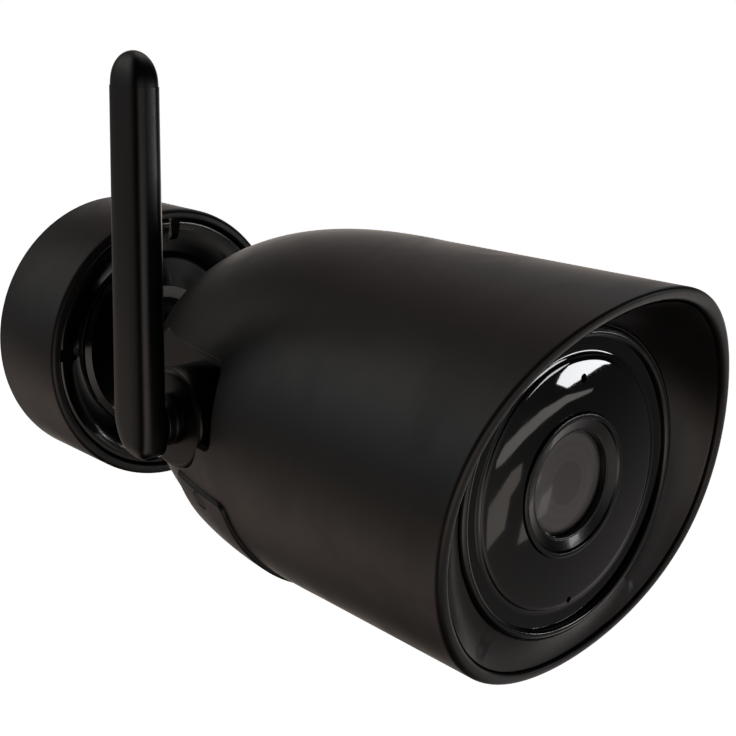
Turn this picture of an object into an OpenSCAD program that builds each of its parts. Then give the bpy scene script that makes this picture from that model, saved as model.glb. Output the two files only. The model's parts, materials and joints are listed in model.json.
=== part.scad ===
// Outdoor bullet security camera on a round wall base with a ball joint and a rod antenna.
// Frame: origin at the centre of the base pad's wall face, +Z up, the wall at +Y, the lens facing -Y.
// Sizes along the camera's axis are distances from the wall, called "s" below.

/* [Wall base] */
// Outer diameter of the base cup
base_d = 67.8; // [60:0.2:84]
// Height of the base cup above its pad
base_h = 25.4; // [24:0.2:31]
// Thickness of the foam pad against the wall
pad_t = 1.0; // [0.6:0.1:2]
// Wall thickness of the base cup
cup_wall = 2.3; // [1.8:0.1:3.2]
// Floor thickness of the base cup
cup_floor = 2.8; // [2.4:0.1:3.6]
// Circle on which the wall screw holes lie
screw_pcd = 49; // [44:0.5:51]
// Diameter of each wall screw hole
screw_hole_d = 4.5; // [3.5:0.1:5.5]
// Number of wall screw holes
screw_count = 3; // [3:1:4]

/* [Ball joint] */
// Diameter of the ball
ball_d = 25; // [22:0.2:30]
// Thickness of the friction shoe behind the ball
shoe_t = 2.0; // [1.5:0.1:2.4]
// Diameter of the neck between ball and body
neck_d = 11; // [9:0.2:13.4]
// Diameter of the stem where it passes into the body
stem_d = 10; // [8:0.2:12]
// Clear length from the ball's front to the body
neck_len = 13.5; // [12:0.5:20]

/* [Clamp collar] */
// Diameter of the collar's open mouth
mouth_d = 43; // [38:0.5:52]
// Width of each grip slot in the collar
slot_w = 3.0; // [2:0.2:4.5]
// Number of grip slots in the collar
slot_count = 4; // [3:1:8]

/* [Body] */
// Diameter of the body where its straight part begins
body_d = 78.4; // [76:0.2:96]
// Length of the rounded rear of the body
dome_len = 70.2; // [64:0.5:86]
// Length from the body's rear tip to the front panel
body_len = 113.3; // [108:0.5:138]
// Growth of the radius towards the front, per millimetre of length
draft = 0.015; // [0:0.001:0.03]
// Wall thickness of the housing
wall = 2.6; // [2.2:0.1:3.2]

/* [Front] */
// How far the front panel's plane lies behind the middle of the lip
lip_depth = 6.0; // [4:0.5:10]
// How far the lip leans forward, as rise per half height
lip_lean = 5.7; // [3:0.1:9]
// Extra reach of the hood above the middle of its curve
lip_curl = 4.1; // [0:0.1:6]
// Diameter of the ring around the front panel
ring_d = 59.7; // [56:0.1:62]
// Diameter of the glossy front panel
panel_d = 56.8; // [53:0.1:58]
// Diameter of the raised trim ring around the lens
lens_ring_d = 28; // [25:0.2:33]
// Diameter of the lens window
lens_window_d = 20.3; // [17:0.1:22]

/* [Antenna] */
// Width of the antenna blade, seen from the side
blade_w = 12; // [10:0.2:14.4]
// Thickness of the antenna blade
blade_t = 7.2; // [6:0.1:8.6]
// Length of the antenna blade
blade_len = 80; // [70:0.5:100]
// Diameter of the round boss that carries the antenna
boss_d = 21; // [18:0.2:22]
// Diameter of the swivel knuckle between boss and blade
knuckle_d = 10.6; // [9:0.2:12]
// Diameter of the shaft that turns in the boss
shaft_d = 6; // [5:0.1:7.2]

/* [Service hatch] */
// Width of the hatch cover around the body
hatch_w = 32; // [28:0.5:34]
// Length of the hatch cover along the body
hatch_l = 19; // [17:0.5:22]
// Direction in which the hatch faces, from +X towards up
hatch_dir = -136.5; // [-137:0.5:-120]

/* [Lead inlet] */
// Diameter of the power lead that the gland grips
lead_d = 4.8; // [4:0.1:5.8]

/* [Hidden] */
$fn = 64;

// clearances
run_gap = 0.05;      // a shaft or ball that turns in its seat
fit_gap = 0.1;       // a piece that drops into its place
eps = 0.01;          // overshoot of a cut

// wall base and ball joint
base_r = base_d / 2;
cup_bore_r = base_r - cup_wall;
cup_back = pad_t;
cup_front = pad_t + base_h;
floor_top = cup_back + cup_floor;
ball_r = ball_d / 2;
shoe_in_r = ball_r + run_gap;
shoe_out_r = shoe_in_r + shoe_t;
seat_r = shoe_out_r + run_gap;
seat_floor = 1.4;                       // plastic left behind the ball seat
ball_s = cup_back + seat_floor + seat_r;
neck_r = neck_d / 2;
stem_r = stem_d / 2;
collar_r = cup_bore_r - run_gap;
collar_front = cup_front - 0.5;
web_s = ball_s + 3.4;                   // back face of the collar's web
web_t = 2.0;
liner_nose_r = ball_r + 1.6;
liner_r = ball_r + 4.0;

// body envelope
rear_flat = ball_s + ball_r + neck_len; // flat seat at the body's rear
dome_tip = rear_flat - 1.6;
dome_end = dome_tip + dome_len;
panel_s = dome_tip + body_len;          // plane of the front panel's edge
body_r = body_d / 2;
hood_r = body_r + draft * (panel_s - dome_end);
hood_end = panel_s + lip_depth + 20;
dome_n = 2.46;
dome_m = 2.14;
dome_steps = 20;

function body_r_at(s) = s >= dome_end
    ? body_r + draft * (s - dome_end)
    : body_r * pow(1 - pow((dome_end - s) / dome_len, dome_n), 1 / dome_m);
function body_slope(s) = (body_r_at(s + 0.05) - body_r_at(s - 0.05)) / 0.1;
function skin_point(s, off) = let (k = body_slope(s), n = sqrt(1 + k * k))
    [body_r_at(s) + off / n, s - off * k / n];
function dome_station(i) = rear_flat + (dome_end - rear_flat) * pow(i / dome_steps, 1.6);
function lip_s(up) = let (h = up / hood_r)
    panel_s + lip_depth + lip_lean * h + 1.5 * h * h + lip_curl * h * h * h;
function arc(cx, cy, r, a0, a1, n) = [for (i = [0:n]) let (a = a0 + (a1 - a0) * i / n)
    [cx + r * cos(a), cy + r * sin(a)]];

// front pieces
ring_r = ring_d / 2;
panel_r = panel_d / 2;
lens_ring_r = lens_ring_d / 2;
lens_window_r = lens_window_d / 2;
bezel_s = panel_s - 7.2;                // shoulder that the bezel rests on
flange_s = panel_s - 6.0;               // back of the bezel's inner flange
gasket_s = panel_s - 3.5;
panel_back = panel_s - 2.3;
flange_r = panel_r - 2.1;
board_t = 1.6;
barrel_r = 8.6;
barrel_front = panel_s - 4.1;
barrel_back = panel_s - 21.7;
holder_base = 5;
holder_w = 26;
plate_s = panel_s - 37.7;               // back of the chassis plate
plate_t = 2;
post_h = 4.4;
inner_r = body_r_at(plate_s) - wall;
sensor_s = plate_s + plate_t + post_h;  // back of the sensor board
holder_s = sensor_s + board_t;          // back of the lens holder, on the sensor board
tray_up = 6;
tray_len = 33;
tray_w = 46;
main_up = tray_up + 4.6;

// antenna
pivot_s = dome_tip + 38.3;
pivot_up = 1;
boss_r = boss_d / 2;
boss_face = body_r_at(pivot_s) + 0.9;   // distance of the boss's face from the axis
pocket_floor = boss_face - 10;
pocket_end = dome_tip + 53.2;
pocket_low = -1.5;
pocket_high = 15.5;
pocket_wall = 2.2;
blade_in = body_r_at(hood_end) + 0.8;   // inner face of the blade
knuckle_r = knuckle_d / 2;
shaft_r = shaft_d / 2;
blade_heel = 6.0;                       // blade below its pivot
heel_r = 9;                             // round at the blade's lower back corner
toe_r = 1.2;                            // chamfer at its lower front corner

// service hatch and card slot
hatch_s = dome_tip + 45.8;
hatch_proud = 0.8;
hatch_skin = 1.2;
seal_t = 0.6;
hatch_r = body_r_at(hatch_s);
hatch_screw_turn = asin((hatch_w / 2 - 2.3) / body_r);
card_board_r = hatch_r - 20;            // outer face of the card board from the axis
card_shift = 3.5;                       // card board's centre ahead of the hatch's centre
socket_h = 11;
switch_h = 10;

// lead inlet
gland_s = pivot_s + 1.8;
gland_up = -6;
gland_seat = body_r_at(gland_s) - 2.6;
lead_r = lead_d / 2;
gland_r = lead_r + 2.2;

// local +Z runs from the wall towards the front, local +Y is up
module from_wall() { rotate([90, 0, 0]) children(); }
module at_side(s, up, x0) { translate([x0, up, s]) rotate([0, -90, 0]) children(); }
module rod(s0, s1, r) { translate([0, 0, s0]) cylinder(h = s1 - s0, r = r); }
module tube(s0, s1, r_out, r_in) {
    difference() {
        rod(s0, s1, r_out);
        rod(s0 - eps, s1 + eps, r_in);
    }
}
module block(x, up, s) {
    translate([x[0], up[0], s[0]]) cube([x[1] - x[0], up[1] - up[0], s[1] - s[0]]);
}
module turned(points) { rotate_extrude($fn = 96) polygon(points); }
module around(n, r, first = 0) {
    for (i = [0:n - 1]) rotate([0, 0, first + i * 360 / n]) translate([r, 0, 0]) children();
}
module rounded_rect(w, h, r) {
    square([w - 2 * r, h], center = true);
    square([w, h - 2 * r], center = true);
    for (x = [-1, 1], y = [-1, 1]) translate([x * (w / 2 - r), y * (h / 2 - r)]) circle(r);
}
// solid inside the body's outer surface, moved out by off
module envelope(off) {
    dome = [for (i = [0:dome_steps - 1]) skin_point(dome_station(i), off)];
    turned(concat([[0, dome[0][1]]], dome, [skin_point(dome_end, off),
        [body_r_at(hood_end) + off, hood_end], [0, hood_end]]));
}
// everything in front of the hood's slanted, curled edge
module beyond_lip(shift) {
    steps = 24;
    edge = [for (i = [0:steps]) let (up = (2 * i / steps - 1) * (hood_r + 3)) [up, lip_s(up) + shift]];
    rotate([90, 0, 90]) translate([0, 0, -hood_r - 5]) linear_extrude(2 * hood_r + 10)
        polygon(concat(edge, [[hood_r + 3, hood_end + 30], [-hood_r - 3, hood_end + 30]]));
}
module chassis_spots() { around(3, inner_r - 3.2, 30) children(); }
// frame whose +Z points out through the hatch
module out_of_hatch() {
    rotate([0, 0, hatch_dir]) translate([0, 0, hatch_s]) rotate([0, 90, 0]) rotate([0, 0, 90]) children();
}
module hatch_prism(w, l, r) { out_of_hatch() linear_extrude(hatch_r + 6) rounded_rect(w, l, r); }
module hatch_screw_spots() {
    for (side = [-1, 1]) rotate([0, 0, hatch_dir + side * hatch_screw_turn])
        translate([0, 0, hatch_s]) rotate([0, 90, 0]) children();
}

// ---- wall base ----
module base_pad() {
    color([0.08, 0.08, 0.08]) from_wall() difference() {
        rod(0, pad_t, base_r - 1.4);
        around(screw_count, screw_pcd / 2, 90) rod(-eps, pad_t + eps, screw_hole_d / 2);
    }
}

module base_cup() {
    round_r = 1.5;
    seat_top = ball_s - seat_r / 2;
    boss_out = seat_r * 0.866 + 2.6;
    color([0.13, 0.13, 0.13]) from_wall() difference() {
        union() {
            turned(concat([[0, cup_back], [base_r - 0.4, cup_back], [base_r, cup_back + 0.4]],
                arc(base_r - round_r, cup_front - round_r, round_r, 0, 90, 6),
                [[cup_bore_r, cup_front], [cup_bore_r, floor_top], [0, floor_top]]));
            rod(floor_top - eps, seat_top, boss_out);
            around(screw_count, 0, 30) block([boss_out - 1, cup_bore_r + 0.5], [-0.8, 0.8],
                [floor_top - eps, seat_top - 1]);
        }
        translate([0, 0, ball_s]) sphere(seat_r);
        around(screw_count, screw_pcd / 2, 90) rod(0, floor_top + eps, screw_hole_d / 2);
    }
}

module friction_shoe() {
    color([0.82, 0.81, 0.76]) from_wall() difference() {
        translate([0, 0, ball_s]) sphere(shoe_out_r);
        translate([0, 0, ball_s]) sphere(shoe_in_r);
        rod(ball_s - shoe_out_r * 0.64, ball_s + shoe_out_r + 1, shoe_out_r + 1);
        rod(0, ball_s, 3);
    }
}

module clamp_collar() {
    mouth_r = mouth_d / 2;
    face_drop = 1.7;
    color([0.05, 0.05, 0.06]) from_wall() difference() {
        turned([[collar_r - 2.6, web_s - 4], [collar_r, web_s - 4], [collar_r, collar_front - 0.6],
            [collar_r - 0.6, collar_front], [collar_r - 1.6, collar_front],
            [mouth_r + 0.5, collar_front - face_drop], [mouth_r, collar_front - face_drop - 0.5],
            [mouth_r - 0.5, web_s + web_t + 0.6], [liner_nose_r + fit_gap, web_s + web_t],
            [liner_nose_r + fit_gap, web_s], [collar_r - 2.6, web_s]]);
        around(slot_count, 0, -3) block([mouth_r - 1, collar_r + 1], [-slot_w / 2, slot_w / 2],
            [collar_front - face_drop - 1.1, collar_front + 1]);
    }
}

module collar_liner() {
    color([0.82, 0.81, 0.76]) from_wall() difference() {
        union() {
            rod(web_s - 3.2, web_s, liner_r);
            rod(web_s - eps, web_s + web_t + 0.2, liner_nose_r);
        }
        translate([0, 0, ball_s]) sphere(shoe_in_r);
    }
}

module ball_stem() {
    seat_s = rear_flat - run_gap;
    flange_r = stem_r + 4.4;
    color([0.06, 0.06, 0.06]) from_wall() difference() {
        union() {
            translate([0, 0, ball_s]) sphere(ball_r);
            rod(ball_s, rear_flat - 5, neck_r);
            turned(concat([[0, rear_flat - 6], [neck_r, rear_flat - 6]],
                [[neck_r + 0.6, rear_flat - 4.4], [flange_r - 0.5, rear_flat - 2.9],
                [flange_r, rear_flat - 2.4], [flange_r, seat_s], [stem_r, seat_s],
                [stem_r, rear_flat + 11], [0, rear_flat + 11]]));
        }
        tube(seat_s - 1.3, seat_s + eps, stem_r + 3.2, stem_r + 1.4);
    }
}

module stem_seal() {
    color([0.1, 0.1, 0.1]) from_wall() translate([0, 0, rear_flat - run_gap - 0.65])
        rotate_extrude() translate([stem_r + 2.3, 0]) circle(0.62, $fn = 24);
}

module stem_washer() {
    color([0.7, 0.7, 0.72]) from_wall()
        tube(rear_flat + 5 + run_gap, rear_flat + 5.8 + run_gap, stem_r + 3.6, stem_r + 0.02);
}

module stem_nut() {
    color([0.7, 0.7, 0.72]) from_wall() difference() {
        translate([0, 0, rear_flat + 5.8 + run_gap]) cylinder(h = 4.4, r = stem_r + 3.2, $fn = 6);
        rod(rear_flat + 5, rear_flat + 12, stem_r + 0.02);
    }
}

// ---- body ----
module antenna_pocket() {
    at_side(0, 0, -pocket_floor) linear_extrude(40)
        translate([(pocket_end + dome_tip) / 2, (pocket_low + pocket_high) / 2])
        rounded_rect(pocket_end - dome_tip, pocket_high - pocket_low, 2);
    at_side(pivot_s, pivot_up, -pocket_floor) cylinder(h = 40, r = boss_r + fit_gap);
}

module antenna_pocket_wall() {
    intersection() {
        envelope(-wall / 2);
        union() {
            block([-60, -pocket_floor + pocket_wall], [pocket_low - pocket_wall, pocket_high + pocket_wall],
                [dome_tip, pocket_end + pocket_wall]);
            at_side(pivot_s, pivot_up, -pocket_floor + pocket_wall)
                cylinder(h = 60, r = boss_r + pocket_wall);
        }
    }
}

module hatch_frame() {
    intersection() {
        difference() {
            envelope(-wall / 2);
            envelope(-hatch_skin - seal_t - 2.4);
        }
        hatch_prism(hatch_w + 4, hatch_l + 4, 3);
    }
    intersection() {
        envelope(-wall / 2);
        union() {
            hatch_screw_spots() rod(hatch_r - 8, hatch_r, 2.6);
            for (side = [-1, 1]) out_of_hatch() translate([side * 13.6, card_shift, 0])
                rod(card_board_r, hatch_r - 3, 2.2);
        }
    }
}

module housing() {
    color([0.12, 0.12, 0.12]) from_wall() difference() {
        union() {
            difference() {
                envelope(0);
                envelope(-wall);
            }
            rod(rear_flat, rear_flat + 5, stem_r + 5.4);
            antenna_pocket_wall();
            hatch_frame();
            intersection() {
                envelope(-wall / 2);
                translate([gland_seat - 5, gland_up, gland_s]) rotate([0, 90, 0])
                    cylinder(h = 20, r = gland_r + 3);
            }
            intersection() {
                envelope(-wall / 2);
                union() {
                    chassis_spots() rod(plate_s - 11, plate_s, 3.4);
                    tube(bezel_s - 2.5, bezel_s, hood_r, hood_r - wall - 2.6);
                }
            }
        }
        rod(rear_flat - 5, rear_flat + 6, stem_r + run_gap);
        antenna_pocket();
        at_side(pivot_s, pivot_up, 0) cylinder(h = 60, r = shaft_r + 1);
        intersection() {
            difference() {
                envelope(5);
                envelope(-hatch_skin - seal_t);
            }
            hatch_prism(hatch_w + 2 * fit_gap, hatch_l + 2 * fit_gap, 2 + fit_gap);
        }
        hatch_prism(hatch_w - 9, hatch_l - 7, 1.5);
        hatch_screw_spots() rod(hatch_r - 6.5, hatch_r + 3, 0.86);
        translate([0, gland_up, gland_s]) rotate([0, 90, 0]) {
            rod(gland_seat, 60, gland_r + 1.6 + fit_gap);
            rod(10, 60, gland_r + fit_gap);
        }
        chassis_spots() rod(plate_s - 9, plate_s + 1, 1.26);
        beyond_lip(0);
    }
}

// room inside the hood's mouth, from the window ring out to the slanted edge
module mouth_funnel(r_mouth) {
    n = 48;
    turn = [for (i = [0:n - 1]) i * 360 / n];
    loops = concat([for (a = turn) [(ring_r + 0.2) * cos(a), (ring_r + 0.2) * sin(a), panel_s]],
        [for (a = turn) [r_mouth * cos(a), r_mouth * sin(a), lip_s(r_mouth * sin(a))]],
        [for (a = turn) [r_mouth * cos(a), r_mouth * sin(a), hood_end + 5]]);
    sides = [for (k = [0, 1], i = [0:n - 1], half = [0, 1]) let (a = k * n + i, b = k * n + (i + 1) % n)
        half == 0 ? [a, a + n, b] : [b, a + n, b + n]];
    polyhedron(loops, concat([[for (i = [0:n - 1]) i]], sides, [[for (i = [n - 1:-1:0]) 2 * n + i]]));
}

module face_bezel() {
    mouth_r = hood_r - wall;
    hollow_r = mouth_r - 2.1;
    color([0.12, 0.12, 0.12]) from_wall() difference() {
        intersection() {
            envelope(-wall - fit_gap);
            rod(bezel_s, hood_end, hood_r);
        }
        beyond_lip(-0.8);
        mouth_funnel(mouth_r);
        rod(gasket_s, hood_end, ring_r + fit_gap);
        rod(bezel_s - 1, hood_end, flange_r);
        rod(bezel_s - 1, flange_s, flange_r + 2.2);
        tube(bezel_s - 1, bezel_s + 4.6, hollow_r, ring_r + 1.8);
    }
}

module window_ring() {
    color([0.04, 0.04, 0.05]) from_wall() turned([[panel_r + fit_gap, gasket_s], [ring_r, gasket_s],
        [ring_r, panel_s + 0.5], [ring_r - 0.5, panel_s + 1], [panel_r + 0.2, panel_s + 1],
        [panel_r - 0.4, panel_s + 0.5], [panel_r - 0.4, panel_s], [panel_r + fit_gap, panel_s]]);
}

module panel_gasket() {
    color([0.1, 0.1, 0.1]) from_wall() tube(gasket_s, panel_back, panel_r, panel_r - 1.5);
}

module face_panel() {
    crown = 0.8;
    hole_r = lens_ring_r + fit_gap;
    step_r = panel_r - 4.1;
    color([0.03, 0.03, 0.03]) from_wall() difference() {
        turned(concat([[hole_r, panel_back], [panel_r, panel_back], [panel_r, panel_s - 0.05],
            [step_r + 0.3, panel_s - 0.05]],
            [for (i = [0:6]) let (r = step_r + (hole_r - step_r) * i / 6)
                [r, panel_s + 0.25 + crown * (1 - pow(r / step_r, 2))]]));
        translate([1.1, 20.4, panel_s - 0.4]) cylinder(h = 3, r = 0.75);
        translate([1.6, -23.6, panel_back - 1]) cylinder(h = 6, r = 0.6);
    }
}

module lens_ring() {
    lip_r = lens_window_r - 0.9;
    color([0.05, 0.05, 0.05]) from_wall() turned([[lip_r, panel_back - 1.5],
        [lens_ring_r + 1.6, panel_back - 1.5], [lens_ring_r + 1.6, panel_back],
        [lens_ring_r, panel_back], [lens_ring_r, panel_s + 0.9], [lens_ring_r - 0.4, panel_s + 1.3],
        [lens_ring_r - 1.1, panel_s + 1.3], [lens_window_r + fit_gap, panel_s + 0.1],
        [lens_window_r + fit_gap, panel_s - 1.5], [lip_r, panel_s - 1.5]]);
}

module crowned_disc(r, s0, edge, crown) {
    turned(concat([[0, s0], [r, s0]], [for (i = [0:8]) let (q = r * (1 - i / 8))
        [q, s0 + edge + crown * (1 - pow(q / r, 2))]]));
}

module lens_window() {
    color([0.55, 0.55, 0.55]) from_wall() crowned_disc(lens_window_r, panel_s - 1.5, 1.3, 0.3);
}

module lens_barrel() {
    color([0.06, 0.06, 0.06]) from_wall() turned([[7, barrel_front], [barrel_r, barrel_front],
        [barrel_r, barrel_back], [5.4, barrel_back], [5.4, barrel_back + 6], [4.8, barrel_back + 6],
        [4.8, barrel_front - 4.6], [7, barrel_front - 4.6]]);
}

module lens_front() {
    color([0.5, 0.55, 0.6]) from_wall() crowned_disc(6.95, barrel_front - 4.6, 2.6, 1.2);
}

module lens_rear() {
    color([0.5, 0.55, 0.6]) from_wall() crowned_disc(5.35, barrel_back + 2, 3.2, 0.8);
}

module lens_holder() {
    half = holder_w / 2;
    color([0.07, 0.07, 0.07]) from_wall() difference() {
        union() {
            block([-half, half], [-half, half], [holder_s, holder_s + holder_base]);
            rod(holder_s + holder_base - eps, barrel_back + 9, barrel_r + 2);
        }
        rod(barrel_back, barrel_back + 10, barrel_r + run_gap);
        rod(holder_s - 1, barrel_back + 1, 4.6);
        block([-5.6, 5.6], [-5.2, 5.2], [holder_s - eps, holder_s + 1.4]);
        block([-11.2, 11.2], [-4.6, 4.6], [holder_s + 1.8, holder_s + 3.1]);
    }
}

module ir_cut_slide() {
    color([0.25, 0.25, 0.27]) from_wall() difference() {
        block([-4, 11], [-4.4, 4.4], [holder_s + 2, holder_s + 2.9]);
        for (x = [0, 7]) translate([x, 0, holder_s]) cylinder(h = 4, r = 3.1);
    }
}

module ir_filters() {
    color([0.3, 0.5, 0.7]) from_wall() for (x = [0, 7])
        translate([x, 0, holder_s + 2.2]) cylinder(h = 0.5, r = 3.09);
}

module image_sensor() {
    color([0.15, 0.18, 0.16]) from_wall() block([-4.7, 4.7], [-4, 4],
        [sensor_s + board_t, sensor_s + board_t + 1.1]);
}

module sensor_board() {
    color([0.05, 0.3, 0.15]) from_wall() block([-17, 17], [-17, 17], [sensor_s, sensor_s + board_t]);
}

module led_board() {
    color([0.05, 0.3, 0.15]) from_wall() tube(flange_s - board_t, flange_s, flange_r + 2, barrel_r + 1.4);
}

module ir_leds() {
    color([0.3, 0.1, 0.25]) from_wall() around(8, 20.2, 22.5) {
        rod(flange_s, flange_s + 1.6, 2.5);
        translate([0, 0, flange_s + 1.6]) crowned_disc(2.1, -eps, eps, 1.6);
    }
}

module light_sensor() {
    color([0.7, 0.65, 0.3]) from_wall() block([0.1, 2.1], [19.5, 21.3], [flange_s, flange_s + 1.2]);
}

module microphone() {
    color([0.7, 0.7, 0.72]) from_wall() translate([1.6, -23.6, flange_s]) cylinder(h = 2, r = 1.9);
}

// ---- inside the body ----
module chassis() {
    post_spots = [[-14, -14], [14, -14], [-14, 14], [14, 14]];
    color([0.3, 0.3, 0.32]) from_wall() difference() {
        union() {
            rod(plate_s, plate_s + plate_t, inner_r - 0.4);
            for (p = post_spots) translate([p[0], p[1], 0]) rod(plate_s + plate_t - eps, sensor_s, 2.4);
            block([-tray_w / 2, tray_w / 2], [tray_up, tray_up + 2], [plate_s - tray_len, plate_s + eps]);
            for (x = [-18, 18], s = [plate_s - 29, plate_s - 5]) translate([x, 0, s])
                rotate([-90, 0, 0]) rod(tray_up + 1, main_up, 2.2);
        }
        rod(plate_s - 1, plate_s + plate_t + 1, 5);
        chassis_spots() rod(plate_s - 1, plate_s + plate_t + 1, 1.5);
        block([-11, 11], [-30, -20], [plate_s - 1, plate_s + plate_t + 1]);
    }
}

module chassis_screws() {
    color([0.7, 0.7, 0.72]) from_wall() chassis_spots() {
        rod(plate_s - 8, plate_s + plate_t, 1.25);
        translate([0, 0, plate_s + plate_t]) crowned_disc(2.6, 0, 0.9, 0.8);
    }
}

module main_board() {
    color([0.05, 0.3, 0.15]) from_wall() block([-tray_w / 2, tray_w / 2], [main_up, main_up + board_t],
        [plate_s - tray_len, plate_s - 2]);
}

module processor() {
    color([0.1, 0.1, 0.1]) from_wall() block([-7, 7], [main_up + board_t, main_up + board_t + 1.5],
        [plate_s - 22, plate_s - 8]);
}

module heat_spreader() {
    top = main_up + board_t + 1.5;
    color([0.75, 0.75, 0.77]) from_wall() {
        block([-13, 13], [top, top + 1.6], [plate_s - 26, plate_s - 4]);
        for (i = [0:6]) translate([-12.6 + i * 4, 0, 0]) block([0, 1.2], [top + 1.5, top + 6],
            [plate_s - 26, plate_s - 4]);
    }
}

module wifi_module() {
    color([0.7, 0.7, 0.72]) from_wall() block([-22, -15], [main_up + board_t, main_up + board_t + 2.2],
        [plate_s - 32, plate_s - 20]);
}

module power_connector() {
    color([0.9, 0.9, 0.86]) from_wall() block([14.5, 22], [main_up + board_t, main_up + board_t + 5.4],
        [plate_s - 32, plate_s - 24]);
}

// ---- service hatch ----
module card_board() {
    color([0.05, 0.3, 0.15]) from_wall() out_of_hatch()
        translate([0, card_shift, card_board_r - board_t]) linear_extrude(board_t) rounded_rect(31, 12, 1);
}

module card_socket() {
    color([0.7, 0.7, 0.72]) from_wall() out_of_hatch() difference() {
        translate([-10.5, card_shift - 2, card_board_r]) cube([14, 4, socket_h]);
        translate([-9.2, card_shift - 0.6, card_board_r + 0.5]) cube([11.4, 1.2, socket_h]);
    }
}

module memory_card() {
    color([0.1, 0.1, 0.1]) from_wall() out_of_hatch()
        translate([-9, card_shift - 0.4, card_board_r + 1.5]) cube([11, 0.8, socket_h]);
}

module reset_switch() {
    color([0.1, 0.1, 0.1]) from_wall() out_of_hatch() difference() {
        translate([4.2, card_shift - 3, card_board_r]) cube([6, 6, switch_h]);
        translate([7.2, card_shift, card_board_r + switch_h - 2.4]) cylinder(h = 3, r = 1.65);
    }
}

module reset_button() {
    color([0.75, 0.2, 0.15]) from_wall() out_of_hatch()
        translate([7.2, card_shift, card_board_r + switch_h - 1.4]) cylinder(h = 2.8, r = 1.6);
}

module hatch_cover() {
    color([0.13, 0.13, 0.13]) from_wall() difference() {
        intersection() {
            difference() {
                envelope(hatch_proud);
                envelope(-hatch_skin);
            }
            hatch_prism(hatch_w, hatch_l, 2);
        }
        hatch_screw_spots() {
            rod(hatch_r - 5, hatch_r + 3, 1.1);
            translate([0, 0, hatch_r - 0.5]) cylinder(h = 1.2, r1 = 1.1, r2 = 2.3);
            rod(hatch_r + 0.69, hatch_r + 3, 2.3);
        }
    }
}

module hatch_seal() {
    color([0.1, 0.1, 0.1]) from_wall() difference() {
        intersection() {
            difference() {
                envelope(-hatch_skin);
                envelope(-hatch_skin - seal_t);
            }
            hatch_prism(hatch_w - 0.4, hatch_l - 0.4, 1.8);
        }
        hatch_prism(hatch_w - 8, hatch_l - 6, 1.5);
        hatch_screw_spots() rod(hatch_r - 5, hatch_r + 3, 1.1);
    }
}

module hatch_screws() {
    color([0.5, 0.5, 0.52]) from_wall() hatch_screw_spots() {
        rod(hatch_r - 6, hatch_r - 0.4, 0.85);
        translate([0, 0, hatch_r - 0.5]) cylinder(h = 1, r1 = 0.95, r2 = 1.95);
    }
}

// ---- lead inlet ----
module cable_gland() {
    color([0.07, 0.07, 0.07]) from_wall() translate([0, gland_up, gland_s]) rotate([0, 90, 0])
        difference() {
            union() {
                rod(gland_seat, gland_seat + 2.4, gland_r + 1.6);
                rod(gland_seat - 9, gland_seat + eps, gland_r);
            }
            rod(gland_seat - 10, gland_seat + 3, lead_r);
        }
}

module gland_nut() {
    color([0.07, 0.07, 0.07]) from_wall() translate([0, gland_up, gland_s]) rotate([0, 90, 0])
        difference() {
            translate([0, 0, gland_seat - 8]) cylinder(h = 2.9, r = gland_r + 2.4, $fn = 6);
            rod(gland_seat - 9, gland_seat, gland_r + 0.02);
        }
}

// ---- antenna ----
module antenna_boss() {
    edge = 0.9;
    color([0.1, 0.1, 0.1]) from_wall() at_side(pivot_s, pivot_up, 0) difference() {
        turned([[0, pocket_floor], [boss_r, pocket_floor], [boss_r, boss_face - edge],
            [boss_r - edge * 0.3, boss_face - edge * 0.3], [boss_r - edge, boss_face], [0, boss_face]]);
        rod(pocket_floor - 1, boss_face + 1, shaft_r + run_gap);
        rod(boss_face - 1.4, boss_face + 1, shaft_r + 1.5);
    }
}

module antenna_seal() {
    color([0.1, 0.1, 0.1]) from_wall() at_side(pivot_s, pivot_up, 0) translate([0, 0, boss_face - 0.7])
        rotate_extrude() translate([shaft_r + 0.72, 0]) circle(0.6, $fn = 24);
}

module antenna_knuckle() {
    tip = pocket_floor - pocket_wall - 3.5;
    color([0.05, 0.05, 0.05]) from_wall() at_side(pivot_s, pivot_up, 0) difference() {
        turned([[0, tip], [shaft_r, tip], [shaft_r, boss_face + 0.3], [knuckle_r - 0.4, boss_face + 0.3],
            [knuckle_r, boss_face + 0.7], [knuckle_r, blade_in], [shaft_r, blade_in],
            [shaft_r, blade_in + 3.6], [0, blade_in + 3.6]]);
        tube(tip + 1, tip + 2.1, shaft_r + 1, shaft_r - 0.8);
    }
}

module antenna_clip() {
    tip = pocket_floor - pocket_wall - 3.5;
    color([0.7, 0.7, 0.72]) from_wall() at_side(pivot_s, pivot_up, 0)
        tube(tip + 1.1, tip + 2, shaft_r + 2.2, shaft_r - 0.75);
}

// side outline of the blade: rounded heel at the back, small corner at the front, round top
function blade_outline() = let (h = blade_w / 2)
    concat([[h - toe_r, -blade_heel], [h, -blade_heel + toe_r]],
        arc(0, blade_len - blade_heel - h, h, 0, 180, 16),
        arc(heel_r - h, heel_r - blade_heel, heel_r, 180, 262, 8));

module antenna_blade() {
    soft = 1.5;
    color([0.07, 0.07, 0.07]) from_wall() translate([0, pivot_up, pivot_s]) difference() {
        intersection() {
            translate([-blade_in, 0, 0]) rotate([0, -90, 0]) linear_extrude(blade_t)
                polygon(blade_outline());
            translate([-blade_in - blade_t / 2, -blade_heel - 1, 0]) rotate([-90, 0, 0])
                linear_extrude(blade_len + 2) rounded_rect(blade_t, blade_w, soft);
        }
        rotate([0, -90, 0]) rod(blade_in - 1, blade_in + 3.8, shaft_r + 0.02);
        translate([-blade_in - blade_t / 2, 8, 0]) rotate([-90, 0, 0]) cylinder(h = 60, r = 1.6);
    }
}

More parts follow.
